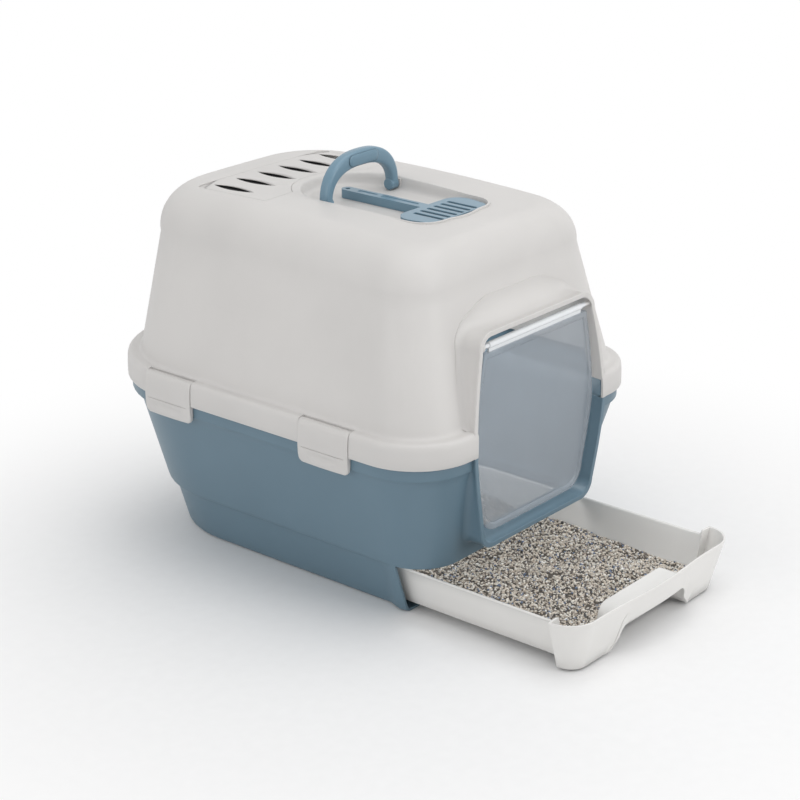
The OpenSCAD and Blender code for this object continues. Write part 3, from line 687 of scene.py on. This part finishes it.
def build_hood():
    hood = hood_wall()
    # tubs under the recess and the filter
    combine(hood, prism("tub", recess_outline(-WALL), 448, 464), "UNION")
    tub_y = (FILTER_FRONT - WALL, FILTER_REAR + WALL)
    tub_half = FILTER_HALF_W + WALL
    combine(hood, box("filter_tub", (-tub_half, tub_half), tub_y, (TUB_FLOOR, 463)), "UNION")
    combine(hood, doorway_room("door_room", BAY_WALL, -236.0, SKIRT_BOTTOM - 1))
    combine(hood, recess_room())
    # seat of the vent cover, room for the filter, and the slots under it
    combine(hood, prism("cover_room", cover_outline(0.5), COVER_SEAT, CLEAR_TOP))
    filter_xy = (-FILTER_HALF_W, FILTER_HALF_W), (FILTER_FRONT, FILTER_REAR)
    combine(hood, box("filter_room", *filter_xy, (TUB_FLOOR + WALL, 464)))
    for i in range(8):
        x = (i - 3.5) * 26.5
        combine(hood, box("grille", (x - 9, x + 9), (98, 158), (TUB_FLOOR - 1.7, 456)))
    # bores of the handle, notches for the clips, bosses and bores of the flap
    for side in (-1, 1):
        combine(hood, tube_x("pin_bore", span(side, 60, 76), PIVOT_Y, PIVOT_Z, HANDLE_PIN_R + 0.1))
    half = CLIP_WIDTH / 2 + CLIP_GAP
    for y in CLIP_YS:
        for side in (-1, 1):
            combine(hood, box("clip_room", span(side, 212.3, 240), (y - half, y + half), (210, 260)))
    for side in (-1, 1):
        combine(hood, tube_x("flap_boss", span(side, 104, 110), FLAP_Y, FLAP_Z, FLAP_PIN_R + 3), "UNION")
        combine(hood, tube_x("flap_bore", span(side, 100, 110.7), FLAP_Y, FLAP_Z, FLAP_PIN_R + 0.1))
    return hood


def build_vent_cover():
    cover = skin("vent_plate", hood_rings(0.0))
    combine(cover, prism("cover_shape", cover_outline(), 463.7, CLEAR_TOP), "INTERSECT")
    repaint(cover, HOOD_MAT)
    levels = ((455, 0), (464.4, 0), (465.2, 0.5), (466.0, 1.5), (467.0, 3.4), (475, 9))
    for i in range(6):
        combine(cover, leaf(SLOT_PITCH * (i - 2.5), SLOT_Y, SLOT_LENGTH, SLOT_WIDTH, levels))
    return cover


def build_filter():
    """A pad with an uneven top, its edges a little lower."""
    rng = random.Random(SEED)
    nx, ny = 60, 44
    gap = 0.5
    x0, y0 = gap - FILTER_HALF_W, FILTER_FRONT + gap
    wide, deep = 2 * (FILTER_HALF_W - gap), FILTER_REAR - FILTER_FRONT - 2 * gap
    verts, faces = [], []
    for j in range(ny + 1):
        for i in range(nx + 1):
            edge = i in (0, nx) or j in (0, ny)
            z = FILTER_TOP - (0.8 if edge else rng.random() * 0.7)
            verts.append((x0 + wide * i / nx, y0 + deep * j / ny, z))
    for j in range(ny):
        for i in range(nx):
            a = j * (nx + 1) + i
            faces.append((a, a + 1, a + nx + 2, a + nx + 1))
    top = len(verts)
    rim = list(range(nx + 1)) + [(j + 1) * (nx + 1) - 1 for j in range(1, ny + 1)]
    rim += [ny * (nx + 1) + i for i in range(nx - 1, -1, -1)] + [j * (nx + 1) for j in range(ny - 1, 0, -1)]
    verts += [(verts[k][0], verts[k][1], FILTER_BOTTOM) for k in rim]
    n = len(rim)
    faces += [(rim[(i + 1) % n], rim[i], top + i, top + (i + 1) % n) for i in range(n)]
    faces.append(tuple(top + i for i in range(n - 1, -1, -1)))
    return new_object("filter_pad", verts, faces, FILTER_MAT, math.radians(60))


# ---------------- base
def mouth_half(z):
    """Half width of the opening that the tray slides through."""
    return MOUTH_HALF_W + TRAY_DRAFT * (z - TRAY_TOP)


def build_base():
    """The shell with its openings, and the doorway's lower half and the runners standing in it as meshes."""
    foot = ((0.1, 4.5), (0.6, 2.6), (1.8, 1.0), (4.5, 0.0))  # (height, inset)
    step = ((68.2, 0.93), (69.2, 0.7), (69.8, 0.16))  # (height, share of the step's depth)
    rim = (  # (height, inset)
        (RIM_BOTTOM - 0.1, 8.6), (RIM_BOTTOM, 6.6), (RIM_BOTTOM + 0.5, RIM_INSET + 0.5),
        (RIM_BOTTOM + 1.3, RIM_INSET + 0.05), (SKIRT_BOTTOM, RIM_INSET), (RIM_TOP - 0.6, RIM_INSET),
        (RIM_TOP, 6.0))
    outer = [base_ring(z, inset, STEP_DEPTH) for z, inset in foot]
    outer += [base_ring(z, 0.0, STEP_DEPTH) for z in np.linspace(14, 66.5, 6)]
    outer += [base_ring(z, 0.0, STEP_DEPTH * share) for z, share in step]
    outer += [base_ring(70.6, 0.0, 0.35), base_ring(72.0)]
    outer += [base_ring(z) for z in np.linspace(82, RIM_BOTTOM - 1.2, 12)]
    outer += [skirt_ring(z, inset) for z, inset in rim]
    base = skin("base_shell", outer, BASE_MAT)

    inner = [base_ring(WALL, 6, STEP_DEPTH), base_ring(WALL + 1.2, 4.0, STEP_DEPTH)]
    inner += [base_ring(z, WALL, STEP_DEPTH) for z in (WALL + 4, 72.6)]
    inner += [base_ring(z, WALL) for z in (75, *np.linspace(90, RIM_BOTTOM, 6))]
    inner += [skirt_ring(z, RIM_INSET + WALL) for z in (RIM_BOTTOM + 3, RIM_TOP + 2)]
    combine(base, skin("base_inside", inner))

    # the doorway, the gap in the rim above it, and the drawer's mouth and throat
    combine(base, doorway_room("door_room", BAY_WALL - 0.4, -236))
    combine(base, doorway_room("rim_gap", -0.5, -243, SKIRT_BOTTOM))
    combine(base, box("mouth", (-250, 250), (-330, POST_Y), (-5, STEP_Z)))
    throat = mirrored([(mouth_half(z), z) for z in (PANEL_BOTTOM, STEP_Z)], False)
    combine(base, prism_y("throat", throat, POST_Y - 1, POST_Y + THROAT_DEPTH))

    runners = [box("runner", (x - 2.5, x + 2.5), (-197, 0), (2.9, 9.9), BASE_MAT)
               for x in (-RUNNER_X, RUNNER_X)]
    tube = doorway_tube("base_doorway", False, base_wall_y, 1.1, lambda x, z: 9.0, BASE_MAT)
    return join("base_shell", [base, tube, *runners])


# ---------------- drawer
def panel_front(z):
    """The panel's front at a height: set back from the base's, and pulled out to the half-open place."""
    return base_shape(z)[1] + PANEL_SETBACK - DRAWER_OUT


def tray_half(z):
    return TRAY_HALF_W - TRAY_DRAFT * (TRAY_TOP - z)


def drawer_ring(z_head, z_tray, inset=0.0, flare=0.0):
    """Outline of the drawer: a bowed front with round corners, a step in to the tray, a rounded rear."""
    hx = base_shape(z_head)[0] - PANEL_SIDE_GAP - inset
    r = PANEL_R - FRONT_DRAFT * (PANEL_TOP - z_head) - inset
    yf = panel_front(z_head) + 5 + inset
    flat = hx - r
    bow_half, bow_depth = 110.7, 5
    tx = tray_half(z_tray) - inset + flare
    rear = base_shape(z_tray)[2] - (STEP_DEPTH + WALL + TRAY_REAR_GAP + inset) - DRAWER_OUT + flare
    tr = TRAY_REAR_R - inset + flare
    head = [(0.5 - tx, PANEL_REAR - inset), (-hx, PANEL_REAR - inset - 1)]
    head += arc(-flat, yf + r, r, 180, 14)
    for u in [i / 18 for i in range(-18, 19)]:
        head.append((bow_half * u, yf - bow_depth * (1 + math.cos(math.pi * u)) / 2))
    head += arc(flat, yf + r, r, 270, 14)
    head += [(hx, PANEL_REAR - inset - 1), (tx - 0.5, PANEL_REAR - inset)]
    start = PANEL_REAR + 2
    tray = [(tx, start)] + [(tx, start + (rear - tr - start) * k / 12) for k in range(1, 12)]
    tray += arc(tx - tr, rear - tr, tr, 0, 14)
    return [(x, y, z_head) for x, y in head] + [(x, y, z_tray) for x, y in mirrored(tray, False)]


def pocket_arch(top, grow=0.0):
    """Outline of the finger pocket from the front: flared feet and round shoulders."""
    feet = ((24, 1.0), (20.5, 5.0), (17, 9.5), (12, 13.5))  # (past the pocket's half width, height)
    right = [(POCKET_HALF + out + grow, z) for out, z in feet]
    for t in np.radians(np.linspace(0, 90, 9)):
        right.append((
            POCKET_HALF + 7 + grow - 16 * (1 - math.cos(t)), top + grow - 17 * (1 - math.sin(t))))
    return mirrored(right, False)


def lean_front(ob, back):
    """Slants the front of an upright cutter like the front panel."""
    for v in ob.data.vertices:
        if v.co.y < (back - 5) * MM:
            v.co.y -= FRONT_DRAFT * (v.co.z - PANEL_BOTTOM * MM)
    return ob


def build_drawer():
    wall = DRAWER_WALL
    rings = (  # (height at the panel, height at the tray, inset, flare), up the outside and down the inside
        (TRAY_BOTTOM, TRAY_BOTTOM, wall, 0), (PANEL_BOTTOM, TRAY_BOTTOM - 0.6, wall, 0),
        (PANEL_BOTTOM, TRAY_BOTTOM - 0.6, 0.6, 0), (PANEL_BOTTOM + 0.6, TRAY_BOTTOM, 0, 0), (20, 24, 0, 0),
        (44, 46, 0, 0), (60, 58.6, 0, 0), (63, 59.4, 0, 0.6), (66.5, 60, 0, 1.3), (67.9, 62.2, 0.15, 1.5),
        (68.4, 62.8, 0.6, 1.4), (68.5, 63, 1.4, 1.2), (68.4, 62.9, 2.2, 1.0), (67.9, 62.4, 2.7, 0.4),
        (66.5, 61, wall, 0), (44, 44, wall, 0), (26, 26, wall, 0), (18, 18, wall + 0.4, 0),
        (15.2, 15.2, wall + 1.8, 0), (13.9, 13.9, wall + 4, 0))
    drawer = skin("drawer_tray", [drawer_ring(*ring) for ring in rings], DRAWER_MAT)
    front, back = panel_front(PANEL_BOTTOM), panel_front(PANEL_BOTTOM) + POCKET_DEPTH
    shell = prism_y("pocket_shell", pocket_arch(POCKET_TOP, wall), front + 3.0, back + wall, DRAWER_MAT)
    combine(shell, box("trim", (-200, 200), (-600, 100), (4.0, 66)), "INTERSECT")
    combine(drawer, lean_front(shell, back), "UNION")
    combine(drawer, lean_front(prism_y("pocket_room", pocket_arch(POCKET_TOP), front + 5.2, back), back))
    combine(drawer, prism_y("arch", pocket_arch(ARCH_TOP), panel_front(PANEL_TOP) - 12, front + 10))
    repaint(drawer, DRAWER_MAT)
    return drawer


# ---------------- litter
GRAIN_SHADES = (  # (colour, how common)
    ((0.68, 0.60, 0.51), 25), ((0.78, 0.72, 0.64), 24), ((0.52, 0.46, 0.39), 12), ((0.88, 0.84, 0.77), 18),
    ((0.28, 0.25, 0.22), 6), ((0.12, 0.12, 0.12), 5), ((0.96, 0.94, 0.90), 6), ((0.20, 0.26, 0.38), 5))
# painted shade: the bed under the grains is coloured dark to stand for the shade in the gaps between them
BED_PAINTED_SHADE = (0.12, 0.105, 0.09)


def litter_height(x, y):
    """Top of the litter: a shallow raked slope with low mounds."""
    slope = 24.0 + 3.0 * (y + 330) / 130 * (1 if y > -330 else 1.2)
    mounds = 1.6 * math.sin(x / 31 + 0.7) * math.cos(y / 27)
    mounds = mounds + 1.1 * math.sin((x + y) / 17) + 0.9 * math.cos(x / 13)
    return min(max(slope + mounds, 17.0), 31.0)


def in_litter(x, y, margin=0.0):
    """Whether a point lies inside the tray and outside the pocket."""
    z = 25.0
    tx = tray_half(z) - 3.6 - margin
    hx = base_shape(z)[0] - 4.6 - margin
    front = panel_front(z) + 8.0 + margin
    limit = tx if y > PANEL_REAR - 4 else hx
    if abs(x) > limit or y < front or y > LITTER_REAR - margin:
        return False
    r = LITTER_FRONT_R
    if y < front + r and abs(x) > hx - r and (abs(x) - hx + r) ** 2 + (front + r - y) ** 2 > r * r:
        return False
    if abs(x) < POCKET_HALF + 22 and y < panel_front(PANEL_BOTTOM) + POCKET_DEPTH + 3.4:
        return False
    r = LITTER_REAR_R
    past_x, past_y = abs(x) - tx + r, y - (LITTER_REAR - r)
    return not (past_y > 0 and past_x > 0 and past_x ** 2 + past_y ** 2 > (r - margin) ** 2)


def litter_bed():
    """Points, faces and colours of the sheet under the loose grains, painted dark as the shade in the gaps
    between them.
    """
    step_x, step_y, y0 = 3.6, 4.0, -470
    grid, verts, faces = {}, [], []
    for iy in range(int((LITTER_REAR - y0) / step_y) + 1):
        for ix in range(-44, 45):
            x, y = ix * step_x, y0 + iy * step_y
            if in_litter(x, y):
                grid[ix, iy] = len(verts)
                verts.append((x, y, litter_height(x, y) - 1.2))
    for (ix, iy), a in grid.items():
        corner = [grid.get((ix + dx, iy + dy)) for dx, dy in ((1, 0), (1, 1), (0, 1))]
        if None not in corner:
            faces.append((a, *corner))
    return verts, faces, [BED_PAINTED_SHADE] * len(faces)


def unit_pebble():
    """A round starting shape for a grain."""
    pebble = bmesh.new()
    bmesh.ops.create_icosphere(pebble, subdivisions=1, radius=1.0)
    points = np.array([v.co[:] for v in pebble.verts])
    faces = [tuple(v.index for v in f.verts) for f in pebble.faces]
    pebble.free()
    return points, faces


def build_litter():
    """A bed painted dark as shade, with loose grains on it, each an uneven pebble with its own shade."""
    rng, bumps = random.Random(SEED), np.random.default_rng(SEED)
    # the bed comes first, its faces coloured in painted shade
    verts, faces, shades = litter_bed()
    points, sides = unit_pebble()
    colours, weights = zip(*GRAIN_SHADES)

    def scatter(count, y0, y1, big):
        placed = 0
        while placed < count:
            x, y = rng.uniform(-172, 172), rng.uniform(y0, y1)
            if not in_litter(x, y, 1.0):
                continue
            placed += 1
            size = rng.uniform(0.8, 1.6) * big
            pts = points * bumps.uniform(0.72, 1.2, (len(points), 1))
            pts = pts * np.array([1.0, rng.uniform(0.6, 1.0), rng.uniform(0.55, 0.9)]) * size
            turn, tilt = rng.uniform(0, 2 * math.pi), rng.uniform(-0.6, 0.6)
            c, s = math.cos(turn), math.sin(turn)
            ct, st = math.cos(tilt), math.sin(tilt)
            rot = np.array([[c, -s, 0], [s, c, 0], [0, 0, 1]])
            rot = rot @ np.array([[1, 0, 0], [0, ct, -st], [0, st, ct]])
            pts = pts @ rot.T + np.array([x, y, litter_height(x, y) - 1.0 + rng.uniform(0, 1.5)])
            start = len(verts)
            verts.extend(map(tuple, pts))
            faces.extend(tuple(start + k for k in f) for f in sides)
            tone = rng.uniform(0.85, 1.12)
            colour = tuple(min(c * tone, 1) for c in rng.choices(colours, weights)[0])
            shades.extend([colour] * len(sides))

    scatter(11500, -455, -190, 1.32)
    scatter(3500, -190, 20, 1.5)
    mesh = bpy.data.meshes.new("litter_grains")
    mesh.from_pydata([tuple(c * MM for c in v) for v in verts], [], faces)
    attr = mesh.color_attributes.new("grain", "FLOAT_COLOR", "CORNER")
    values = []
    for poly, colour in zip(mesh.polygons, shades):
        values += [(*colour, 1.0)] * poly.loop_total
    attr.data.foreach_set("color", np.array(values, dtype=np.float32).ravel())
    mesh.materials.append(LITTER_MAT)
    return add_to_scene("litter_grains", mesh)


# ---------------- flap
def flap_half(z):
    """Half width of the flap: a gap inside the doorway that widens away from BAY_MID."""
    widen = 2.5 * (z - BAY_MID) / 143 if z > BAY_MID else 7.0 * (BAY_MID - z) / 126
    return bay_half(z) - FLAP_GAP - widen


def flap_loop(inset):
    """The flap's outline as (x, z), round at the bottom and straight along the top."""
    r = FLAP_R - 0.6 * inset
    bottom, top = FLAP_BOTTOM + inset, FLAP_TOP - inset
    wb = flap_half(bottom + r) - inset
    right = [(x, bottom) for x in np.linspace(0, wb - r, 8)[:-1]]
    right += arc(wb - r, bottom + r, r, -90, 10)
    for z in [bottom + r + (top - bottom - r) * i / 30 for i in range(1, 31)]:
        right.append((flap_half(z) - inset, z))
    right += [(x, top) for x in np.linspace(right[-1][0], 0, 9)[1:]]
    return mirrored(right)


def build_flap():
    """A pane with a thicker rim."""
    rear = ((8.5, 1.2), (7.0, 2.6), (6.0, 3.0), (0.9, 3.0), (0.2, 2.6), (0, 2.0))  # (inset, from the middle)
    rows = [(g, -dy) for g, dy in rear] + list(reversed(rear))
    return skin("flap_pane", [[(x, FLAP_Y + dy, z) for x, z in flap_loop(g)] for g, dy in rows], FLAP_MAT)


def build_flap_bar():
    bar = tube_x("flap_bar", (-92.5, 92.5), FLAP_Y, FLAP_Z, FLAP_BAR_R, ROD_MAT)
    web = box("web", (-92, 92), (FLAP_Y - 1.3, FLAP_Y + 1.3), (336.5, 344), ROD_MAT)
    pins = [
        tube_x("pin", span(side, 92, FLAP_PIN_END), FLAP_Y, FLAP_Z, FLAP_PIN_R, ROD_MAT) for side in (-1, 1)]
    return join("flap_bar", [bar, web, *pins])


# ---------------- handle, scoop, clips
def squared(value, power):
    """Bends a sine or cosine so that an oval becomes squarer."""
    return math.copysign(abs(value) ** power, value)


def build_handle():
    """An arch of squarish section, its two feet and pins, and the pad on its front."""
    rings = []
    for t in np.linspace(0, math.pi, 61):
        bend = np.array([squared(math.cos(t), 0.82), abs(math.sin(t)) ** 0.82])
        outer, inner = bend * HANDLE_OUTER, bend * HANDLE_INNER
        mid, half = (outer + inner) / 2, (outer - inner) / 2
        ring = []
        for a in [2 * math.pi * i / 28 for i in range(28)]:
            p = mid + half * squared(math.cos(a), 0.55)
            y = PIVOT_Y + HANDLE_HALF_DEPTH * squared(math.sin(a), 0.55)
            ring.append((p[0], y, PIVOT_Z + p[1]))
        rings.append(ring)
    parts = [skin("arch", rings, BLUE_MAT)]
    for side in (-1, 1):
        parts.append(tube_x("foot", span(side, 55.2, 69), PIVOT_Y, PIVOT_Z, HANDLE_HALF_DEPTH, BLUE_MAT, 1.0))
        parts.append(tube_x("pin", span(side, 66, 75.4), PIVOT_Y, PIVOT_Z, HANDLE_PIN_R, BLUE_MAT))
    pad = []
    for y, grow in ((-6.0, 0.8), (-6.2, 0.2), (-6.7, -0.6), (-6.7, -5.5)):
        ring = []
        for a in [2 * math.pi * i / 40 for i in range(40)]:
            end = 20 if math.cos(a) > 0 else -20
            r = 7 + grow
            ring.append((end + r * math.cos(a), y, PIVOT_Z + 46.78 + r * math.sin(a)))
        pad.append(ring)
    return join("handle_arch", [*parts, skin("pad", pad, BLUE_MAT)])


def scoop_blade(inset):
    """The blade's outline: a wide front edge, sides that spread a little, round rear shoulders."""
    side = 60
    right = [
        (46 - inset, BLADE_FRONT + inset), (52 - inset, BLADE_FRONT + 3 + inset * 0.5),
        (55 - inset, BLADE_FRONT + 9), (side - 0.6 - inset, BLADE_REAR - BLADE_R - 6)]
    right += arc(side - BLADE_R, BLADE_REAR - BLADE_R, BLADE_R - inset, 0, 10)
    right += [(22, BLADE_REAR - inset), (BAR_HALF_W - inset, BLADE_REAR - inset + 0.01)]
    return mirrored(right, False)


def scoop_bar(inset):
    """The bar's outline, from inside the blade to its round end."""
    half = BAR_HALF_W - inset
    start = BLADE_REAR - BAR_HALF_W
    return [(half, start), *arc(0, BAR_END - BAR_HALF_W, half, 0, 20, 180), (-half, start)]


def lozenge(x, y0, y1, half, tip_half, tip):
    """A narrow slot with blunted ends."""
    return [
        (x + half, y0 + tip), (x + half, y1 - tip), (x + tip_half, y1), (x - tip_half, y1),
        (x - half, y1 - tip), (x - half, y0 + tip), (x - tip_half, y0), (x + tip_half, y0)]


def build_scoop():
    """A thin shell open below, with slots through the blade, two grooves and a hole in the bar."""
    scoop = prism("scoop", scoop_blade(0), SCOOP_BOTTOM, SCOOP_TOP, BLUE_MAT)
    combine(scoop, prism("bar", scoop_bar(0), SCOOP_BOTTOM, SCOOP_TOP - 0.02), "UNION")
    inside_top = SCOOP_TOP - SCOOP_SKIN
    hollow = prism("hollow", scoop_blade(SCOOP_SKIN), CLEAR_BOTTOM, inside_top)
    combine(hollow, prism("hollow_bar", scoop_bar(SCOOP_SKIN), CLEAR_BOTTOM, inside_top - 0.02), "UNION")
    combine(scoop, hollow)
    half = 3.1
    for i in range(6):
        slot = lozenge(13 * (i - 2.5), -157, -112, half, half * 0.6, 2)
        combine(scoop, prism("slot", slot, CLEAR_BOTTOM, CLEAR_TOP))
    for y0, y1 in ((-92, -34), (-26, 4)):
        combine(scoop, prism("groove", lozenge(0, y0, y1, 3.6, 2.0, 3), SCOOP_TOP - 0.9, CLEAR_TOP))
    hole = oval(0, BAR_END - BAR_HALF_W, 3.3, 3.3, 24)
    combine(scoop, prism("hole", hole, CLEAR_BOTTOM, CLEAR_TOP))
    repaint(scoop, BLUE_MAT)
    return scoop


def clip_section(u):
    """The clip's section as (x, z) on the right side; u runs -1..1 along the clip."""
    inner, half, end_r, chamfer = HALF_W - 4.7, CLIP_WIDTH / 2, 7, 1.2
    end = max(abs(u) * half - (half - end_r), 0) / end_r
    lift = end_r * (1 - math.sqrt(max(1 - end * end, 0))) if end else 0.0
    low = CLIP_BOTTOM + lift * 0.9 - 0.8 * (1 - u * u)
    face = 0.5 * max(abs(u) * half - (half - chamfer), 0) / chamfer
    swell = 0.12 * (1 - u * u) - face
    outer = (  # (out from the inner face, height), up the outside and over to the barrel
        (4.0, low), (4.8, low + 0.9), (5.2, low + 2.6), (5.8, 208), (6.2, 216), (6.35, 224), (6.3, 232),
        (5.9, 239), (5.2, 244), (4.4, 246.6), (3.2, 248.6), (1.6, 249.8), (-0.8, 250.3), (-4.2, 250.3))
    pts = [(inner, 243.9), (inner, low + 3.0), (inner + 0.5, low + 0.8), (inner + 1.4, low)]
    pts += [(inner + dx + swell * min(1, (dx + 4.2) / 8), z) for dx, z in outer]
    return pts + [(213.6, 249.2), (212.8, 247.6), (212.8, 245.9), (213.8, 244.3), (215.4, 243.6)]


def build_clip(name, side, y_mid):
    """One clip: a swollen plate that hangs over the rim from a barrel in the ledge."""
    half = CLIP_WIDTH / 2
    far = (0.25, 0.5, 0.7, 0.82, 0.86, 0.9, 0.93, 0.96, 0.985, 1.0)
    rings = []
    for u in [-u for u in reversed(far)] + [0.0, *far]:
        rings.append([(side * x, y_mid + u * half, z) for x, z in clip_section(u)])
    clip = skin(name, rings, HOOD_MAT)
    combine(clip, box("groove", span(side, 226.0, 240), (y_mid - 33, y_mid + 33), (216.4, 217.2)))
    # the thumb's hollow, as (x, half width, half height)
    thumb = ((225.7, 16, 3.0), (225.9, 21, 4.4), (226.4, 23.5, 5.4), (232.0, 27, 7.0))
    rings = [[(side * x, y, z) for y, z in oval(y_mid, 207.5, wide, tall, 36)] for x, wide, tall in thumb]
    combine(clip, skin("thumb", rings))
    pins = []
    for end in (-1, 1):
        ring = oval(side * CLIP_PIVOT_X, CLIP_PIVOT_Z, CLIP_PIN_R, CLIP_PIN_R, 20)
        y0, y1 = sorted((y_mid + end * (half - 1), y_mid + end * (half + 4.9)))
        pins.append(prism_y("pin", ring, y0, y1, HOOD_MAT))
    return join(name, [clip, *pins])


# ---------------- put it together
def place(obj, body, slot_name, *nodes):
    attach(obj, body)
    if nodes:
        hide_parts(*nodes)


place(build_base(), "base", "base_plastic", "base")
place(build_hood(), "hood", "shell_plastic", "hood")
place(build_vent_cover(), "hood", "shell_plastic", "vent_cover")
place(build_filter(), "hood", "charcoal", "carbon_filter")
place(build_drawer(), "drawer", "drawer_plastic", "drawer")
place(build_litter(), "drawer", "litter", "litter_bed")
place(build_flap(), "door_flap", "clear_plastic", "door_flap")
place(build_flap_bar(), "door_flap", "clear_plastic")
place(build_handle(), "carry_handle", "blue_plastic", "carry_handle")
place(build_scoop(), "scoop", "blue_plastic", "scoop")
for side, side_name in ((-1, "left"), (1, "right")):
    for y, end_name in zip(CLIP_YS, ("front", "rear")):
        node = f"clip_{side_name}_{end_name}"
        place(build_clip(node + "_plate", side, y), node, "shell_plastic", node)


# ---------------- studio, in metres
FLOOR_MID = (-0.1, -0.2)
FADE_START, FADE_END = 0.3, 0.95
FLOOR_LOW, FLOOR_HIGH = (0.81, 0.81, 0.812), (0.825, 0.825, 0.827)
WORLD_STRENGTH = 0.68
CAMERA_AT = (-1.9453, -1.6737, 1.1732)
CAMERA_TILT, CAMERA_TURN = 68.913, -50.384
CAMERA_LENS = 95.86


def seen_directly(nodes):
    """1 for rays that show the background: from the camera, in a reflection or through clear plastic."""
    path = add(nodes, "LightPath")
    total = path.outputs["Is Camera Ray"]
    for kind in ("Is Glossy Ray", "Is Transmission Ray"):
        larger = add(nodes, "Math")
        larger.operation = "MAXIMUM"
        link(total, larger.inputs[0])
        link(path.outputs[kind], larger.inputs[1])
        total = larger.outputs["Value"]
    return total


def floor_material():
    """Pale floor that takes the shadow near the object and fades to white further out."""
    mat, nodes, shader = shader_nodes("floor")
    set_inputs(shader, Roughness=0.75, Specular_IOR_Level=0.15)
    blend_colours(nodes, noise(nodes, 60.0), FLOOR_LOW, FLOOR_HIGH, shader.inputs["Base Color"])
    coords = add(nodes, "TexCoord")
    centred = add(nodes, "VectorMath")
    centred.operation = "SUBTRACT"
    centred.inputs[1].default_value = (*FLOOR_MID, 0)
    link(coords.outputs["Object"], centred.inputs[0])
    length = add(nodes, "VectorMath")
    length.operation = "LENGTH"
    link(centred.outputs["Vector"], length.inputs[0])
    fade = add(nodes, "MapRange", From_Min=FADE_START, From_Max=FADE_END)
    fade.interpolation_type = "SMOOTHSTEP"
    link(length.outputs["Value"], fade.inputs["Value"])
    white = add(nodes, "Emission", Color=(1, 1, 1, 1), Strength=1.0)
    share = add(nodes, "Math")
    share.operation = "MULTIPLY"
    link(fade.outputs["Result"], share.inputs[0])
    link(seen_directly(nodes), share.inputs[1])
    mix_shaders(nodes, share.outputs["Value"], shader.outputs["BSDF"], white.outputs["Emission"])
    return mat


def softbox(name, at, look, size, power):
    light = bpy.data.lights.new(name, "AREA")
    light.shape = "RECTANGLE"
    light.size, light.size_y = size
    light.energy = power
    ob = add_to_scene(name, light)
    ob.location = at
    ob.rotation_euler = (Vector(look) - Vector(at)).to_track_quat("-Z", "Y").to_euler()


def build_world():
    """Soft white light all round, and a plain white where the world itself is seen."""
    world = bpy.data.worlds.new("studio")
    world.use_nodes = True
    bpy.context.scene.world = world
    nodes = world.node_tree.nodes
    soft = set_inputs(nodes["Background"], Color=(1, 1, 1, 1), Strength=WORLD_STRENGTH)
    white = add(nodes, "Background", Color=(1, 1, 1, 1), Strength=1.0)
    shaders = soft.outputs["Background"], white.outputs["Background"]
    mix_shaders(nodes, seen_directly(nodes), *shaders, "World Output")


def build_camera():
    data = bpy.data.cameras.new("camera")
    data.lens = CAMERA_LENS
    data.sensor_width = 36
    camera = add_to_scene("camera", data)
    camera.location = CAMERA_AT
    camera.rotation_euler = (math.radians(CAMERA_TILT), 0, math.radians(CAMERA_TURN))
    bpy.context.scene.camera = camera


corners = [(-9000, -9000, -0.3), (9000, -9000, -0.3), (9000, 9000, -0.3), (-9000, 9000, -0.3)]
floor = new_object("floor", corners, [(0, 1, 2, 3)], floor_material())

softbox("key", (0.25, -0.7, 2.6), (0, 0, 0.2), (2.6, 2.6), 30)
softbox("inside", (0, 0.05, 0.43), (0, 0.02, 0.1), (0.2, 0.3), 1.25)
softbox("left", (-2.9, 0.3, 1.0), (0, 0, 0.25), (1.8, 1.4), 15)
softbox("front", (0.7, -3.0, 1.2), (0, -0.2, 0.25), (1.6, 1.2), 19)
build_world()
build_camera()
bpy.context.scene.view_settings.view_transform = "Standard"
